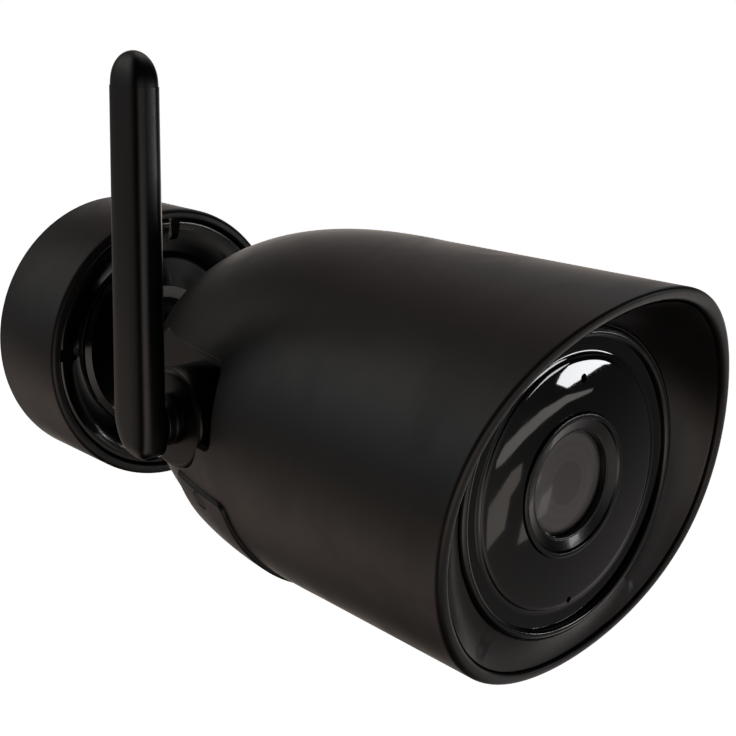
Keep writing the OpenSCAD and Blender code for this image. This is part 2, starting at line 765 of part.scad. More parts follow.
module antenna_rod() {
    color([0.8, 0.65, 0.3]) from_wall() translate([-blade_in - blade_t / 2, pivot_up + 9, pivot_s])
        rotate([-90, 0, 0]) cylinder(h = 55, r = 1.5);
}

base_pad();
base_cup();
friction_shoe();
clamp_collar();
collar_liner();
ball_stem();
stem_seal();
stem_washer();
stem_nut();
housing();
face_bezel();
window_ring();
panel_gasket();
face_panel();
lens_ring();
lens_window();
lens_barrel();
lens_front();
lens_rear();
lens_holder();
ir_cut_slide();
ir_filters();
image_sensor();
sensor_board();
led_board();
ir_leds();
light_sensor();
microphone();
chassis();
chassis_screws();
main_board();
processor();
heat_spreader();
wifi_module();
power_connector();
card_board();
card_socket();
memory_card();
reset_switch();
reset_button();
hatch_cover();
hatch_seal();
hatch_screws();
cable_gland();
gland_nut();
antenna_boss();
antenna_seal();
antenna_knuckle();
antenna_clip();
antenna_blade();
antenna_rod();
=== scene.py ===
"""Outdoor bullet security camera: its finished look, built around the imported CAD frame.

Lengths in this file are millimetres until place() turns them into the frame's metres. "s" is a distance
from the wall along the camera's axis, "across" runs to the object's right and "up" is up.
"""

import json
import logging
import math
from dataclasses import dataclass, field
from enum import Enum
from typing import Callable, Sequence

import bmesh
import bpy
from mathutils import Matrix, Vector


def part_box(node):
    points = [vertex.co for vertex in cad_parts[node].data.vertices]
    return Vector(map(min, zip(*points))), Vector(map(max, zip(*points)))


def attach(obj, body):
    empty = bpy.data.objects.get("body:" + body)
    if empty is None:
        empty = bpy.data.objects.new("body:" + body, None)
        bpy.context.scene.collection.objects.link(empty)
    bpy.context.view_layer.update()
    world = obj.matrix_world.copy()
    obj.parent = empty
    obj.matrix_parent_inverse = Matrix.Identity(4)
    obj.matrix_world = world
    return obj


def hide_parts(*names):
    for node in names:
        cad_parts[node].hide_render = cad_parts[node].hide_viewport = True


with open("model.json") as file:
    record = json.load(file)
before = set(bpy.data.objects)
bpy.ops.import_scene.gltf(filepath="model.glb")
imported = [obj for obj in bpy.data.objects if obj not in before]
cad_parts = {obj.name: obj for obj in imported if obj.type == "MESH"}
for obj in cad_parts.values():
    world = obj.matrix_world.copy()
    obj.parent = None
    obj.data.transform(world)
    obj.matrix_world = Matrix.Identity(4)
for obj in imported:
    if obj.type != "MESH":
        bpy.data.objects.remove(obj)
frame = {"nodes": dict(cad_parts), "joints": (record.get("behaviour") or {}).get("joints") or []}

LOG = logging.getLogger("security_camera")
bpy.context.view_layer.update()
MM = 0.001

Corner = tuple[float, float, float]
Spot = tuple[float, float]
Colour = tuple[float, float, float]
Direction = tuple[float, float, float]


# ---------------------------------------------------------------- places and outlines

def place(across: float, up: float, s: float) -> Vector:
    """Turns millimetres across, up and out from the wall into a point of the frame."""
    return Vector((across, -s, up)) * MM


def span(node: str, axis: int) -> Spot:
    """Gives a CAD node's lowest and highest millimetre along one axis of the frame.

    Args:
        node: name of the CAD node.
        axis: 0 for across, 1 for the frame's Y, 2 for up.

    Returns:
        The lowest and the highest value.
    """
    low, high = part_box(node)
    return low[axis] / MM, high[axis] / MM


def reach(node: str) -> Spot:
    """Gives the nearest and the furthest distance of a CAD node from the wall."""
    low, high = span(node, 1)
    return -high, -low


def soften(corners: Sequence[Corner], steps: int = 5) -> list[Spot]:
    """Rounds the corners of a closed outline.

    Args:
        corners: each corner's two coordinates and its fillet radius, 0 for a sharp one.
        steps: straight pieces in each fillet.

    Returns:
        The points of the rounded outline.
    """
    points: list[Spot] = []
    for index, (x, y, fillet) in enumerate(corners):
        corner = Vector((x, y))
        back = Vector(corners[index - 1][:2]) - corner
        ahead = Vector(corners[(index + 1) % len(corners)][:2]) - corner
        if fillet <= 0 or back.length < 1e-6 or ahead.length < 1e-6:
            points.append((x, y))
            continue
        half = back.angle(ahead) / 2
        tangent = min(fillet / math.tan(half), 0.48 * back.length, 0.48 * ahead.length)
        radius = tangent * math.tan(half)
        back.normalize()
        ahead.normalize()
        centre = corner + (back + ahead).normalized() * (radius / math.sin(half))
        start, end = corner + back * tangent - centre, corner + ahead * tangent - centre
        first = math.atan2(start.y, start.x)
        sweep = math.atan2(start.x * end.y - start.y * end.x, start.dot(end))
        for step in range(steps + 1):
            turn = first + sweep * step / steps
            points.append((centre.x + radius * math.cos(turn), centre.y + radius * math.sin(turn)))
    return points


def rounded_box(width: float, height: float, radius: float, steps: int = 6) -> list[Spot]:
    """Gives the outline of a rectangle with round corners, about the origin."""
    x, y = width / 2, height / 2
    return soften([(x, -y, radius), (x, y, radius), (-x, y, radius), (-x, -y, radius)], steps)


def even_spots(outline: Sequence[Spot], count: int) -> list[Spot]:
    """Spreads points evenly along a closed outline.

    Args:
        outline: the outline's own points.
        count: how many points to give back.

    Returns:
        The evenly spaced points.
    """
    corners = [Vector(p) for p in outline]
    sides = [(corners[(i + 1) % len(corners)] - p).length for i, p in enumerate(corners)]
    spots: list[Spot] = []
    side, gone = 0, 0.0
    for k in range(count):
        wanted = sum(sides) * k / count
        while side < len(sides) - 1 and gone + sides[side] < wanted:
            gone += sides[side]
            side += 1
        share = (wanted - gone) / max(sides[side], 1e-9)
        spot = corners[side].lerp(corners[(side + 1) % len(corners)], share)
        spots.append((spot.x, spot.y))
    return spots


@dataclass(frozen=True)
class Axis:
    """A line that profiles turn about, with the two directions across it."""

    origin: Vector
    along: Vector
    across: Vector
    up: Vector

    def point(self, radius: float, distance: float, turn: float) -> Vector:
        """Gives the point at a radius, a distance along the line and an angle round it."""
        outward = self.across * math.cos(turn) + self.up * math.sin(turn)
        return self.origin + (self.along * distance + outward * radius) * MM


MAIN_AXIS = Axis(Vector((0, 0, 0)), Vector((0, -1, 0)), Vector((1, 0, 0)), Vector((0, 0, 1)))


# ---------------------------------------------------------------- meshes

class Cut(Enum):
    """How a tool solid changes a piece."""

    REMOVE = "DIFFERENCE"
    ADD = "UNION"
    KEEP_COMMON = "INTERSECT"


def to_object(name: str, points: Sequence[Vector], faces: Sequence[Sequence[int]],
              crease: float = 32.0) -> bpy.types.Object:
    """Makes a mesh object, merges doubled points and turns its faces outward.

    Args:
        name: name of the piece.
        points: its points, in metres.
        faces: its faces, as point numbers.
        crease: edges sharper than this many degrees stay sharp.

    Returns:
        The new object, linked to the scene.
    """
    mesh = bpy.data.meshes.new(name)
    mesh.from_pydata([tuple(p) for p in points], [], [list(f) for f in faces])
    work = bmesh.new()
    work.from_mesh(mesh)
    bmesh.ops.remove_doubles(work, verts=work.verts, dist=1e-7)
    bmesh.ops.recalc_face_normals(work, faces=work.faces)
    work.to_mesh(mesh)
    work.free()
    piece = bpy.data.objects.new(name, mesh)
    bpy.context.scene.collection.objects.link(piece)
    smooth(piece, crease)
    return piece


def smooth(piece: bpy.types.Object, crease: float = 32.0) -> None:
    """Shades a piece smoothly, with edges sharper than the crease angle kept sharp."""
    piece.data.shade_smooth()
    piece.data.set_sharp_from_angle(angle=math.radians(crease))


def loft(name: str, rings: Sequence[Sequence[Vector]], wrap: bool = False,
         crease: float = 32.0) -> bpy.types.Object:
    """Joins closed rings of equal count into a solid.

    Args:
        name: name of the piece.
        rings: the rings, in order.
        wrap: joins the last ring to the first, as on a tube's wall; otherwise both ends are closed.
        crease: edges sharper than this many degrees stay sharp.

    Returns:
        The new object.
    """
    count = len(rings[0])
    points = [p for ring in rings for p in ring]
    faces: list[list[int]] = []
    for k in range(len(rings) if wrap else len(rings) - 1):
        a, b = k * count, ((k + 1) % len(rings)) * count
        faces += [[a + i, a + (i + 1) % count, b + (i + 1) % count, b + i] for i in range(count)]
    if not wrap:
        last = (len(rings) - 1) * count
        faces += [list(range(count))[::-1], list(range(last, last + count))]
    return to_object(name, points, faces, crease)


def turned(name: str, profile: Sequence[Spot], axis: Axis = MAIN_AXIS, steps: int = 128,
           crease: float = 32.0) -> bpy.types.Object:
    """Turns a closed profile about an axis into a solid.

    Args:
        name: name of the piece.
        profile: radius and distance of each point; a radius of 0 is a point on the axis.
        axis: the line to turn about.
        steps: straight pieces in a full turn.
        crease: edges sharper than this many degrees stay sharp.

    Returns:
        The new object.
    """
    points: list[Vector] = []
    rows: list[list[int]] = []
    for radius, distance in profile:
        if radius < 1e-6:
            points.append(axis.point(0, distance, 0))
            rows.append([len(points) - 1] * steps)
            continue
        rows.append(list(range(len(points), len(points) + steps)))
        points += [axis.point(radius, distance, 2 * math.pi * i / steps) for i in range(steps)]
    faces: list[list[int]] = []
    for k, row in enumerate(rows):
        following = rows[(k + 1) % len(rows)]
        if row[0] == row[1] and following[0] == following[1]:
            continue
        for i in range(steps):
            j = (i + 1) % steps
            face = [row[i], row[j], following[j], following[i]]
            faces.append([v for n, v in enumerate(face) if v not in face[:n]])
    return to_object(name, points, faces, crease)


def carve(piece: bpy.types.Object, tool: bpy.types.Object, how: Cut = Cut.REMOVE,
          crease: float = 32.0) -> None:
    """Cuts a piece with a tool solid, or joins the two, and deletes the tool.

    Args:
        piece: the piece to change.
        tool: the solid that changes it.
        how: what happens between the two.
        crease: edges sharper than this many degrees stay sharp.
    """
    change = piece.modifiers.new("carve", "BOOLEAN")
    change.operation = how.value
    change.object = tool
    change.solver = "EXACT"
    graph = bpy.context.evaluated_depsgraph_get()
    result = bpy.data.meshes.new_from_object(piece.evaluated_get(graph))
    piece.modifiers.remove(change)
    before, piece.data = piece.data, result
    name = before.name
    bpy.data.meshes.remove(before)
    result.name = name
    bpy.data.objects.remove(tool)
    smooth(piece, crease)


# ---------------------------------------------------------------- node groups and finishes

class Graph:
    """A node tree with short ways to add nodes and join them."""

    def __init__(self, tree: bpy.types.NodeTree) -> None:
        """Keeps the tree."""
        self.tree = tree

    def add(self, kind: str, inputs: dict[str | int, object] | None = None,
            **settings: object) -> bpy.types.Node:
        """Adds a node.

        Args:
            kind: Blender's name of the node type.
            inputs: a constant or another node's output for each named input.
            settings: the node's own properties.

        Returns:
            The new node.
        """
        node = self.tree.nodes.new(kind)
        for name, value in settings.items():
            setattr(node, name, value)
        for key, value in (inputs or {}).items():
            if isinstance(value, bpy.types.NodeSocket):
                self.tree.links.new(value, node.inputs[key])
            else:
                node.inputs[key].default_value = value
        return node

    def math(self, how: str, a: object, b: object = 0.0, clamp: bool = False) -> bpy.types.NodeSocket:
        """Adds a Math node and gives its output."""
        return self.add("ShaderNodeMath", {0: a, 1: b}, operation=how, use_clamp=clamp).outputs[0]

    def band(self, value: object, low: float, high: float, to_low: float = 0.0,
             to_high: float = 1.0) -> bpy.types.NodeSocket:
        """Maps a stretch of values onto another, smoothly and within its ends."""
        node = self.add("ShaderNodeMapRange", {"Value": value, "From Min": low, "From Max": high,
                                               "To Min": to_low, "To Max": to_high},
                        interpolation_type="SMOOTHSTEP")
        return node.outputs["Result"]

    def blend(self, share: object, first: object, second: object) -> bpy.types.NodeSocket:
        """Mixes two colours by a share and gives the mixed colour."""
        return self.add("ShaderNodeMix", {0: share, 6: first, 7: second}, data_type="RGBA").outputs[2]


def rgba(colour: Colour) -> tuple[float, float, float, float]:
    """Adds a full alpha to a colour."""
    return (*colour, 1.0)


@dataclass
class Effects:
    """The shader node groups that the finishes share, each built once."""

    built: dict[str, bpy.types.NodeTree] = field(default_factory=dict)

    def group(self, name: str, inputs: dict[str, tuple[str, object]], outputs: dict[str, str],
              fill: Callable[[Graph, bpy.types.Node, bpy.types.Node], None]) -> bpy.types.NodeTree:
        """Gives a node group, and builds it when it is first asked for.

        Args:
            name: name of the group.
            inputs: each input's socket type and starting value.
            outputs: each output's socket type.
            fill: adds the nodes, given the graph and its input and output nodes.

        Returns:
            The node group.
        """
        if name not in self.built:
            tree = bpy.data.node_groups.new(name, "ShaderNodeTree")
            for socket, (kind, value) in inputs.items():
                made = tree.interface.new_socket(socket, in_out="INPUT", socket_type=kind)
                if value is not None:
                    made.default_value = value
            for socket, kind in outputs.items():
                tree.interface.new_socket(socket, in_out="OUTPUT", socket_type=kind)
            graph = Graph(tree)
            fill(graph, graph.add("NodeGroupInput"), graph.add("NodeGroupOutput"))
            self.built[name] = tree
        return self.built[name]

    def moulded_grain(self) -> bpy.types.NodeTree:
        """Spark-eroded mould texture: fine pits of uneven size over soft waviness.

        Returns:
            The node group.
        """
        def fill(graph: Graph, given: bpy.types.Node, result: bpy.types.Node) -> None:
            """Adds pits, fine noise and waviness.

            Args:
                graph: the group's nodes.
                given: its input node.
                result: its output node.
            """
            where, size = given.outputs["Vector"], given.outputs["Per Metre"]
            pits = graph.add("ShaderNodeTexVoronoi", {"Vector": where, "Scale": size},
                             feature="SMOOTH_F1")
            fine = graph.add("ShaderNodeTexNoise", {
                "Vector": where, "Scale": graph.math("MULTIPLY", size, 1.7), "Detail": 3.0})
            soft = graph.add("ShaderNodeTexNoise", {
                "Vector": where, "Scale": graph.math("MULTIPLY", size, 0.06), "Detail": 2.0})
            rough = graph.math("ADD", graph.math("MULTIPLY", pits.outputs["Distance"], 0.55),
                               graph.math("MULTIPLY", fine.outputs[0], 0.45))
            height = graph.math("ADD", rough, graph.math("MULTIPLY", soft.outputs[0], 0.5))
            graph.tree.links.new(height, result.inputs["Height"])
            graph.tree.links.new(soft.outputs[0], result.inputs["Waviness"])
        return self.group("moulded_grain", {"Vector": ("NodeSocketVector", None),
                                            "Per Metre": ("NodeSocketFloat", 4000.0)},
                          {"Height": "NodeSocketFloat", "Waviness": "NodeSocketFloat"}, fill)

    def handling_marks(self) -> bpy.types.NodeTree:
        """Faint smears and hairline rubs that change the gloss.

        Returns:
            The node group.
        """
        def fill(graph: Graph, given: bpy.types.Node, result: bpy.types.Node) -> None:
            """Adds the smears and the hairlines.

            Args:
                graph: the group's nodes.
                given: its input node.
                result: its output node.
            """
            where = given.outputs["Vector"]
            smear = graph.add("ShaderNodeTexNoise", {"Vector": where, "Scale": 55.0, "Detail": 5.0,
                                                     "Roughness": 0.62, "Distortion": 0.8})
            stretched = graph.add("ShaderNodeMapping", {"Vector": where, "Rotation": (0.5, 0.3, 0.9),
                                                        "Scale": (60.0, 1500.0, 260.0)})
            hair = graph.add("ShaderNodeTexNoise", {"Vector": stretched.outputs[0], "Scale": 1.0,
                                                    "Detail": 2.0})
            marks = graph.math("ADD", graph.band(smear.outputs[0], 0.42, 0.66),
                               graph.band(hair.outputs[0], 0.70, 0.80, 0.0, 0.6), clamp=True)
            graph.tree.links.new(marks, result.inputs["Mask"])
        return self.group("handling_marks", {"Vector": ("NodeSocketVector", None)},
                          {"Mask": "NodeSocketFloat"}, fill)

    def settled_dust(self) -> bpy.types.NodeTree:
        """Fine dust that gathers in specks on what faces up.

        Returns:
            The node group.
        """
        def fill(graph: Graph, given: bpy.types.Node, result: bpy.types.Node) -> None:
            """Adds the film and the specks, on what faces up.

            Args:
                graph: the group's nodes.
                given: its input node.
                result: its output node.
            """
            facing = graph.add("ShaderNodeSeparateXYZ",
                               {0: graph.add("ShaderNodeNewGeometry").outputs["Normal"]})
            cloud = graph.add("ShaderNodeTexNoise", {"Vector": given.outputs["Vector"],
                                                     "Scale": 90.0, "Detail": 6.0})
            speck = graph.add("ShaderNodeTexNoise", {"Vector": given.outputs["Vector"],
                                                     "Scale": 2600.0, "Detail": 1.0})
            lies = graph.band(facing.outputs["Z"], -0.1, 0.95)
            film = graph.math("MULTIPLY", lies, graph.band(cloud.outputs[0], 0.35, 0.75))
            dots = graph.math("MULTIPLY", lies, graph.band(speck.outputs[0], 0.70, 0.76))
            total = graph.math("ADD", graph.math("MULTIPLY", film, 0.6), dots, clamp=True)
            graph.tree.links.new(graph.math("MULTIPLY", total, given.outputs["Amount"]),
                                 result.inputs["Mask"])
        return self.group("settled_dust", {"Vector": ("NodeSocketVector", None),
                                           "Amount": ("NodeSocketFloat", 0.1)},
                          {"Mask": "NodeSocketFloat"}, fill)

    def edge_rub(self) -> bpy.types.NodeTree:
        """Edges polished by handling: convex edges, broken up by noise.

        Returns:
            The node group.
        """
        def fill(graph: Graph, given: bpy.types.Node, result: bpy.types.Node) -> None:
            """Adds the edges and the noise that breaks them up.

            Args:
                graph: the group's nodes.
                given: its input node.
                result: its output node.
            """
            point = graph.add("ShaderNodeNewGeometry").outputs["Pointiness"]
            patch = graph.add("ShaderNodeTexNoise", {"Vector": given.outputs["Vector"],
                                                     "Scale": 240.0, "Detail": 4.0})
            edge = graph.band(point, 0.505, 0.56)
            rubbed = graph.math("MULTIPLY", edge, graph.band(patch.outputs[0], 0.35, 0.65))
            graph.tree.links.new(rubbed, result.inputs["Mask"])
        return self.group("edge_rub", {"Vector": ("NodeSocketVector", None)},
                          {"Mask": "NodeSocketFloat"}, fill)


EFFECTS = Effects()


@dataclass(frozen=True)
class Finish:
    """One surface finish; its material is built from these values."""

    name: str
    colour: Colour
    roughness: float
    slot: str | None = None
    metallic: float = 0.0
    specular: float = 0.5
    coat: float = 0.0
    coat_roughness: float = 0.05
    alpha: float = 1.0
    grain_per_metre: float = 4200.0
    grain_depth: float = 0.012
    mottle: float = 0.12
    marks: float = 0.06
    rub: float = 0.06
    dust: float = 0.04

    def material(self) -> bpy.types.Material:
        """Gives the finish's material, and builds it when it is first asked for."""
        ready = bpy.data.materials.get(self.name)
        return ready or self.build()

    def build(self) -> bpy.types.Material:
        """Builds the material: tinted base, marks, rubbed edges, dust and a bump of grain.

        Returns:
            The new material.
        """
        material = bpy.data.materials.new(self.name)
        material.use_nodes = True
        material.node_tree.nodes.clear()
        graph = Graph(material.node_tree)
        where = graph.add("ShaderNodeTexCoord").outputs["Object"]
        grain = self.use(graph, EFFECTS.moulded_grain(), Vector=where)
        grain.inputs["Per Metre"].default_value = self.grain_per_metre
        marks = self.use(graph, EFFECTS.handling_marks(), Vector=where).outputs["Mask"]
        dust = self.use(graph, EFFECTS.settled_dust(), Vector=where)
        dust.inputs["Amount"].default_value = self.dust
        rub = self.use(graph, EFFECTS.edge_rub(), Vector=where).outputs["Mask"]

        colour = self.colour_of(graph, where, grain.outputs["Waviness"])
        lighter = rgba(tuple(min(1.0, c * 1.5 + 0.012) for c in self.colour))
        colour = graph.blend(graph.math("MULTIPLY", rub, self.rub * 4), colour, lighter)
        colour = graph.blend(dust.outputs["Mask"], colour, rgba((0.30, 0.28, 0.25)))
        rough = graph.math("ADD", self.roughness - self.marks / 2,
                           graph.math("MULTIPLY", marks, self.marks))
        rough = graph.math("SUBTRACT", rough, graph.math("MULTIPLY", rub, self.rub), clamp=True)
        rough = graph.math("ADD", rough, graph.math("MULTIPLY", dust.outputs["Mask"], 0.4), clamp=True)
        bump = graph.add("ShaderNodeBump", {"Height": self.height_of(graph, where, grain),
                                            "Strength": 0.6, "Distance": self.grain_depth * MM})
        shader = graph.add("ShaderNodeBsdfPrincipled", {
            "Base Color": colour, "Roughness": rough, "Normal": bump.outputs[0],
            "Metallic": self.metallic, "Specular IOR Level": self.specular, "Coat Weight": self.coat,
            "Coat Roughness": self.coat_roughness, "Alpha": self.alpha})
        graph.add("ShaderNodeOutputMaterial", {"Surface": shader.outputs[0]})
        return material

    @staticmethod
    def use(graph: Graph, group: bpy.types.NodeTree, **inputs: bpy.types.NodeSocket) -> bpy.types.Node:
        """Places a node group in a material and joins its inputs.

        Args:
            graph: the material's nodes.
            group: the node group.
            inputs: what feeds each of its inputs.

        Returns:
            The group's node.
        """
        node = graph.add("ShaderNodeGroup", node_tree=group)
        for name, value in inputs.items():
            graph.tree.links.new(value, node.inputs[name])
        return node

    def colour_of(self, graph: Graph, where: bpy.types.NodeSocket,
                  waviness: bpy.types.NodeSocket) -> bpy.types.NodeSocket:
        """Gives the base colour, lighter and darker in soft patches.

        Args:
            graph: the material's nodes.
            where: the place on the piece, in its own coordinates; not used here.
            waviness: soft noise from the grain.

        Returns:
            The colour.
        """
        dark = rgba(tuple(c * (1 - self.mottle) for c in self.colour))
        light = rgba(tuple(min(1.0, c * (1 + self.mottle)) for c in self.colour))
        return graph.blend(graph.band(waviness, 0.3, 0.7), dark, light)

    def height_of(self, graph: Graph, where: bpy.types.NodeSocket,
                  grain: bpy.types.Node) -> bpy.types.NodeSocket:
        """Gives the height that the bump follows."""
        return grain.outputs["Height"]


@dataclass(frozen=True)
class BrushedMetal(Finish):
    """A metal drawn or brushed along one direction."""

    stretch: tuple[float, float, float] = (300.0, 9000.0, 9000.0)

    def height_of(self, graph: Graph, where: bpy.types.NodeSocket,
                  grain: bpy.types.Node) -> bpy.types.NodeSocket:
        """Gives fine drawn lines."""
        lines = graph.add("ShaderNodeMapping", {"Vector": where, "Scale": self.stretch})
        return graph.add("ShaderNodeTexNoise", {"Vector": lines.outputs[0], "Scale": 1.0,
                                                "Detail": 3.0}).outputs[0]


@dataclass(frozen=True)
class CellFoam(Finish):
    """Closed-cell foam with small open cells at its cut faces."""

    def height_of(self, graph: Graph, where: bpy.types.NodeSocket,
                  grain: bpy.types.Node) -> bpy.types.NodeSocket:
        """Gives round cells of two sizes.

        Args:
            graph: the material's nodes.
            where: the place on the piece, in its own coordinates.
            grain: the grain group's node; not used here.

        Returns:
            The height.
        """
        cells = graph.add("ShaderNodeTexVoronoi", {"Vector": where, "Scale": 1500.0})
        small = graph.add("ShaderNodeTexVoronoi", {"Vector": where, "Scale": 3600.0})
        return graph.math("ADD", cells.outputs["Distance"],
                          graph.math("MULTIPLY", small.outputs["Distance"], 0.5))


@dataclass(frozen=True)
class BoardLaminate(Finish):
    """Circuit board: solder mask over copper tracks on a square grid, with plated dots."""

    copper: Colour = (0.05, 0.34, 0.15)

    def colour_of(self, graph: Graph, where: bpy.types.NodeSocket,
                  waviness: bpy.types.NodeSocket) -> bpy.types.NodeSocket:
        """Gives the mask's green, lighter over the tracks, with tinned dots.

        Args:
            graph: the material's nodes.
            where: the place on the piece, in its own coordinates.
            waviness: soft noise from the grain; not used here.

        Returns:
            The colour.
        """
        tracks = graph.add("ShaderNodeTexBrick", {
            "Vector": where, "Color1": (1, 1, 1, 1), "Color2": (1, 1, 1, 1), "Mortar": (0, 0, 0, 1),
            "Scale": 260.0, "Mortar Size": 0.045, "Brick Width": 0.9, "Row Height": 0.35})
        dots = graph.add("ShaderNodeTexVoronoi", {"Vector": where, "Scale": 420.0})
        dot = graph.band(dots.outputs["Distance"], 0.16, 0.12)
        masked = graph.blend(tracks.outputs["Fac"], rgba(self.colour), rgba(self.copper))
        return graph.blend(dot, masked, rgba((0.55, 0.52, 0.46)))


@dataclass(frozen=True)
class PaintedLensGlass(Finish):
    """Coated lens glass with painted light: a pale face that is a painted reflection, faint painted ring
    reflections, and painted shade in the pupil and at the edge.
    """

    # radii of the painted shade: the darker pupil, and the edge where it is darkest
    pupil_shade_mm: float = 4.3
    edge_shade_mm: float = 9.8

    def colour_of(self, graph: Graph, where: bpy.types.NodeSocket,
                  waviness: bpy.types.NodeSocket) -> bpy.types.NodeSocket:
        """Gives the face's tone by its distance from the optical axis: painted ring reflections, and painted
        shade in the pupil and towards the edge.

        Args:
            graph: the material's nodes.
            where: the place on the piece, in its own coordinates.
            waviness: soft noise from the grain; not used here.

        Returns:
            The colour.
        """
        parts = graph.add("ShaderNodeSeparateXYZ", {0: where})
        flat = graph.add("ShaderNodeCombineXYZ", {"X": parts.outputs["X"], "Z": parts.outputs["Z"]})
        out = graph.add("ShaderNodeVectorMath", {0: flat.outputs[0]}, operation="LENGTH")
        radius = graph.math("DIVIDE", out.outputs["Value"], MM)
        # painted reflections of the lens's inner elements, as faint rings
        ring_reflections = graph.math("MULTIPLY", graph.math("SINE", graph.math("MULTIPLY", radius, 3.1)), 0.5)
        face = graph.blend(graph.math("ADD", ring_reflections, 0.5), rgba(self.colour),
                           rgba(tuple(c * 1.07 for c in self.colour)))
        # painted shade: a darker pupil where the lens goes deep, and a darker edge where the trim ring meets
        # the lens
        pupil = graph.band(radius, self.pupil_shade_mm + 0.35, self.pupil_shade_mm - 0.35)
        rim = graph.band(radius, self.edge_shade_mm - 0.5, self.edge_shade_mm)
        face = graph.blend(pupil, face, rgba(tuple(c * 0.86 for c in self.colour)))
        return graph.blend(rim, face, rgba(tuple(c * 0.45 for c in self.colour)))


WARM_BLACK = (0.0150, 0.0138, 0.0130)

SATIN_BODY = Finish("satin_body_plastic", WARM_BLACK, 0.40, "housing_shell", grain_depth=0.010)
SATIN_BASE = Finish("satin_base_plastic", WARM_BLACK, 0.42, "base_shell", grain_depth=0.010)
HOOD_INSIDE = Finish("hood_inside_plastic", (0.0160, 0.0142, 0.0136), 0.34, "housing_shell",
                     grain_depth=0.006, marks=0.05)
COLLAR_GLOSS = Finish("collar_gloss_plastic", (0.0060, 0.0058, 0.0060), 0.13, "collar_gloss", coat=0.4,
                      grain_depth=0.002, marks=0.05, dust=0.03)
STEM_BLACK = Finish("stem_black_plastic", (0.0060, 0.0058, 0.0056), 0.38, "stem_black")
RING_GLOSS = Finish("window_ring_plastic", (0.0085, 0.0080, 0.0078), 0.16, "window_ring", coat=0.3,
                    grain_depth=0.002, dust=0.02)
PANEL_GLOSS = Finish("front_panel_gloss", (0.0030, 0.0028, 0.0028), 0.035, "panel_gloss", specular=0.6,
                     coat=0.5, coat_roughness=0.02, grain_per_metre=900.0, grain_depth=0.0012,
                     marks=0.025, rub=0.01, dust=0.012)
LENS_RING = Finish("lens_ring_plastic", (0.0090, 0.0088, 0.0088), 0.20, "lens_ring", coat=0.3,
                   grain_depth=0.002, dust=0.015)
# the pale grey colour is a painted reflection of the bright surroundings on the glass
LENS_FACE_PAINTED = PaintedLensGlass("lens_face_painted_reflection", (0.260, 0.260, 0.263), 0.09, "lens_glass", coat=0.6,
                      coat_roughness=0.02, grain_depth=0.0005, marks=0.02, rub=0.0, dust=0.008)
ANTENNA_SATIN = Finish("antenna_semi_gloss", (0.0075, 0.0072, 0.0070), 0.30, "antenna_shell",
                       grain_depth=0.005, marks=0.05)
ANTENNA_MOUNT = Finish("antenna_mount_plastic", (0.0085, 0.0080, 0.0078), 0.36, "antenna_mount")
SEAL_RUBBER = Finish("seal_rubber", (0.012, 0.012, 0.012), 0.70, "seal_foam", grain_per_metre=2200.0,
                     grain_depth=0.02, specular=0.3)
PAD_FOAM = CellFoam("pad_foam", (0.022, 0.022, 0.023), 0.90, "seal_foam", specular=0.2, grain_depth=0.12)
GLAND_RUBBER = Finish("gland_rubber", (0.011, 0.011, 0.011), 0.62, "seal_foam", grain_depth=0.015)
STEEL = BrushedMetal("plated_steel", (0.52, 0.52, 0.54), 0.30, "steel", metallic=1.0, grain_depth=0.004)
ALUMINIUM = BrushedMetal("bare_aluminium", (0.72, 0.72, 0.74), 0.36, "aluminium", metallic=1.0,
                         grain_depth=0.006)
BLACKENED_STEEL = BrushedMetal("blackened_steel", (0.030, 0.029, 0.028), 0.38, "steel", metallic=1.0,
                               grain_depth=0.004)
BRASS = BrushedMetal("drawn_brass", (0.70, 0.52, 0.22), 0.28, "brass", metallic=1.0,
                     stretch=(9000.0, 9000.0, 300.0), grain_depth=0.004)
BOARD = BoardLaminate("board_laminate", (0.012, 0.13, 0.055), 0.34, "board_green", coat=0.3,
                      grain_depth=0.01)
CHIP = Finish("chip_epoxy", (0.014, 0.014, 0.015), 0.48, "chip_black", grain_per_metre=7000.0)
EMITTER = Finish("emitter_resin", (0.10, 0.03, 0.08), 0.10, "emitter_resin", coat=0.5, alpha=0.85,
                 grain_depth=0.001)
ACETAL = Finish("bearing_acetal", (0.016, 0.016, 0.016), 0.34, "bearing_acetal", mottle=0.03)
NYLON = Finish("connector_nylon", (0.78, 0.76, 0.70), 0.48, "connector_nylon", mottle=0.03)
CHASSIS = Finish("chassis_plastic", (0.055, 0.055, 0.060), 0.55, "chassis_plastic")
OPTIC_BLACK = Finish("optic_black_plastic", (0.010, 0.010, 0.010), 0.62, "optics_black",
                     grain_per_metre=6000.0)
FILTER = Finish("filter_glass", (0.20, 0.36, 0.60), 0.06, "filter_glass", alpha=0.5, coat=0.5,
                grain_depth=0.0005)
INNER_GLASS = Finish("inner_lens_glass", (0.30, 0.31, 0.33), 0.04, "lens_glass", alpha=0.35, coat=0.6,
                     grain_depth=0.0003)
BUTTON_RED = Finish("button_red_plastic", (0.52, 0.05, 0.03), 0.40, "reset_red", mottle=0.05)

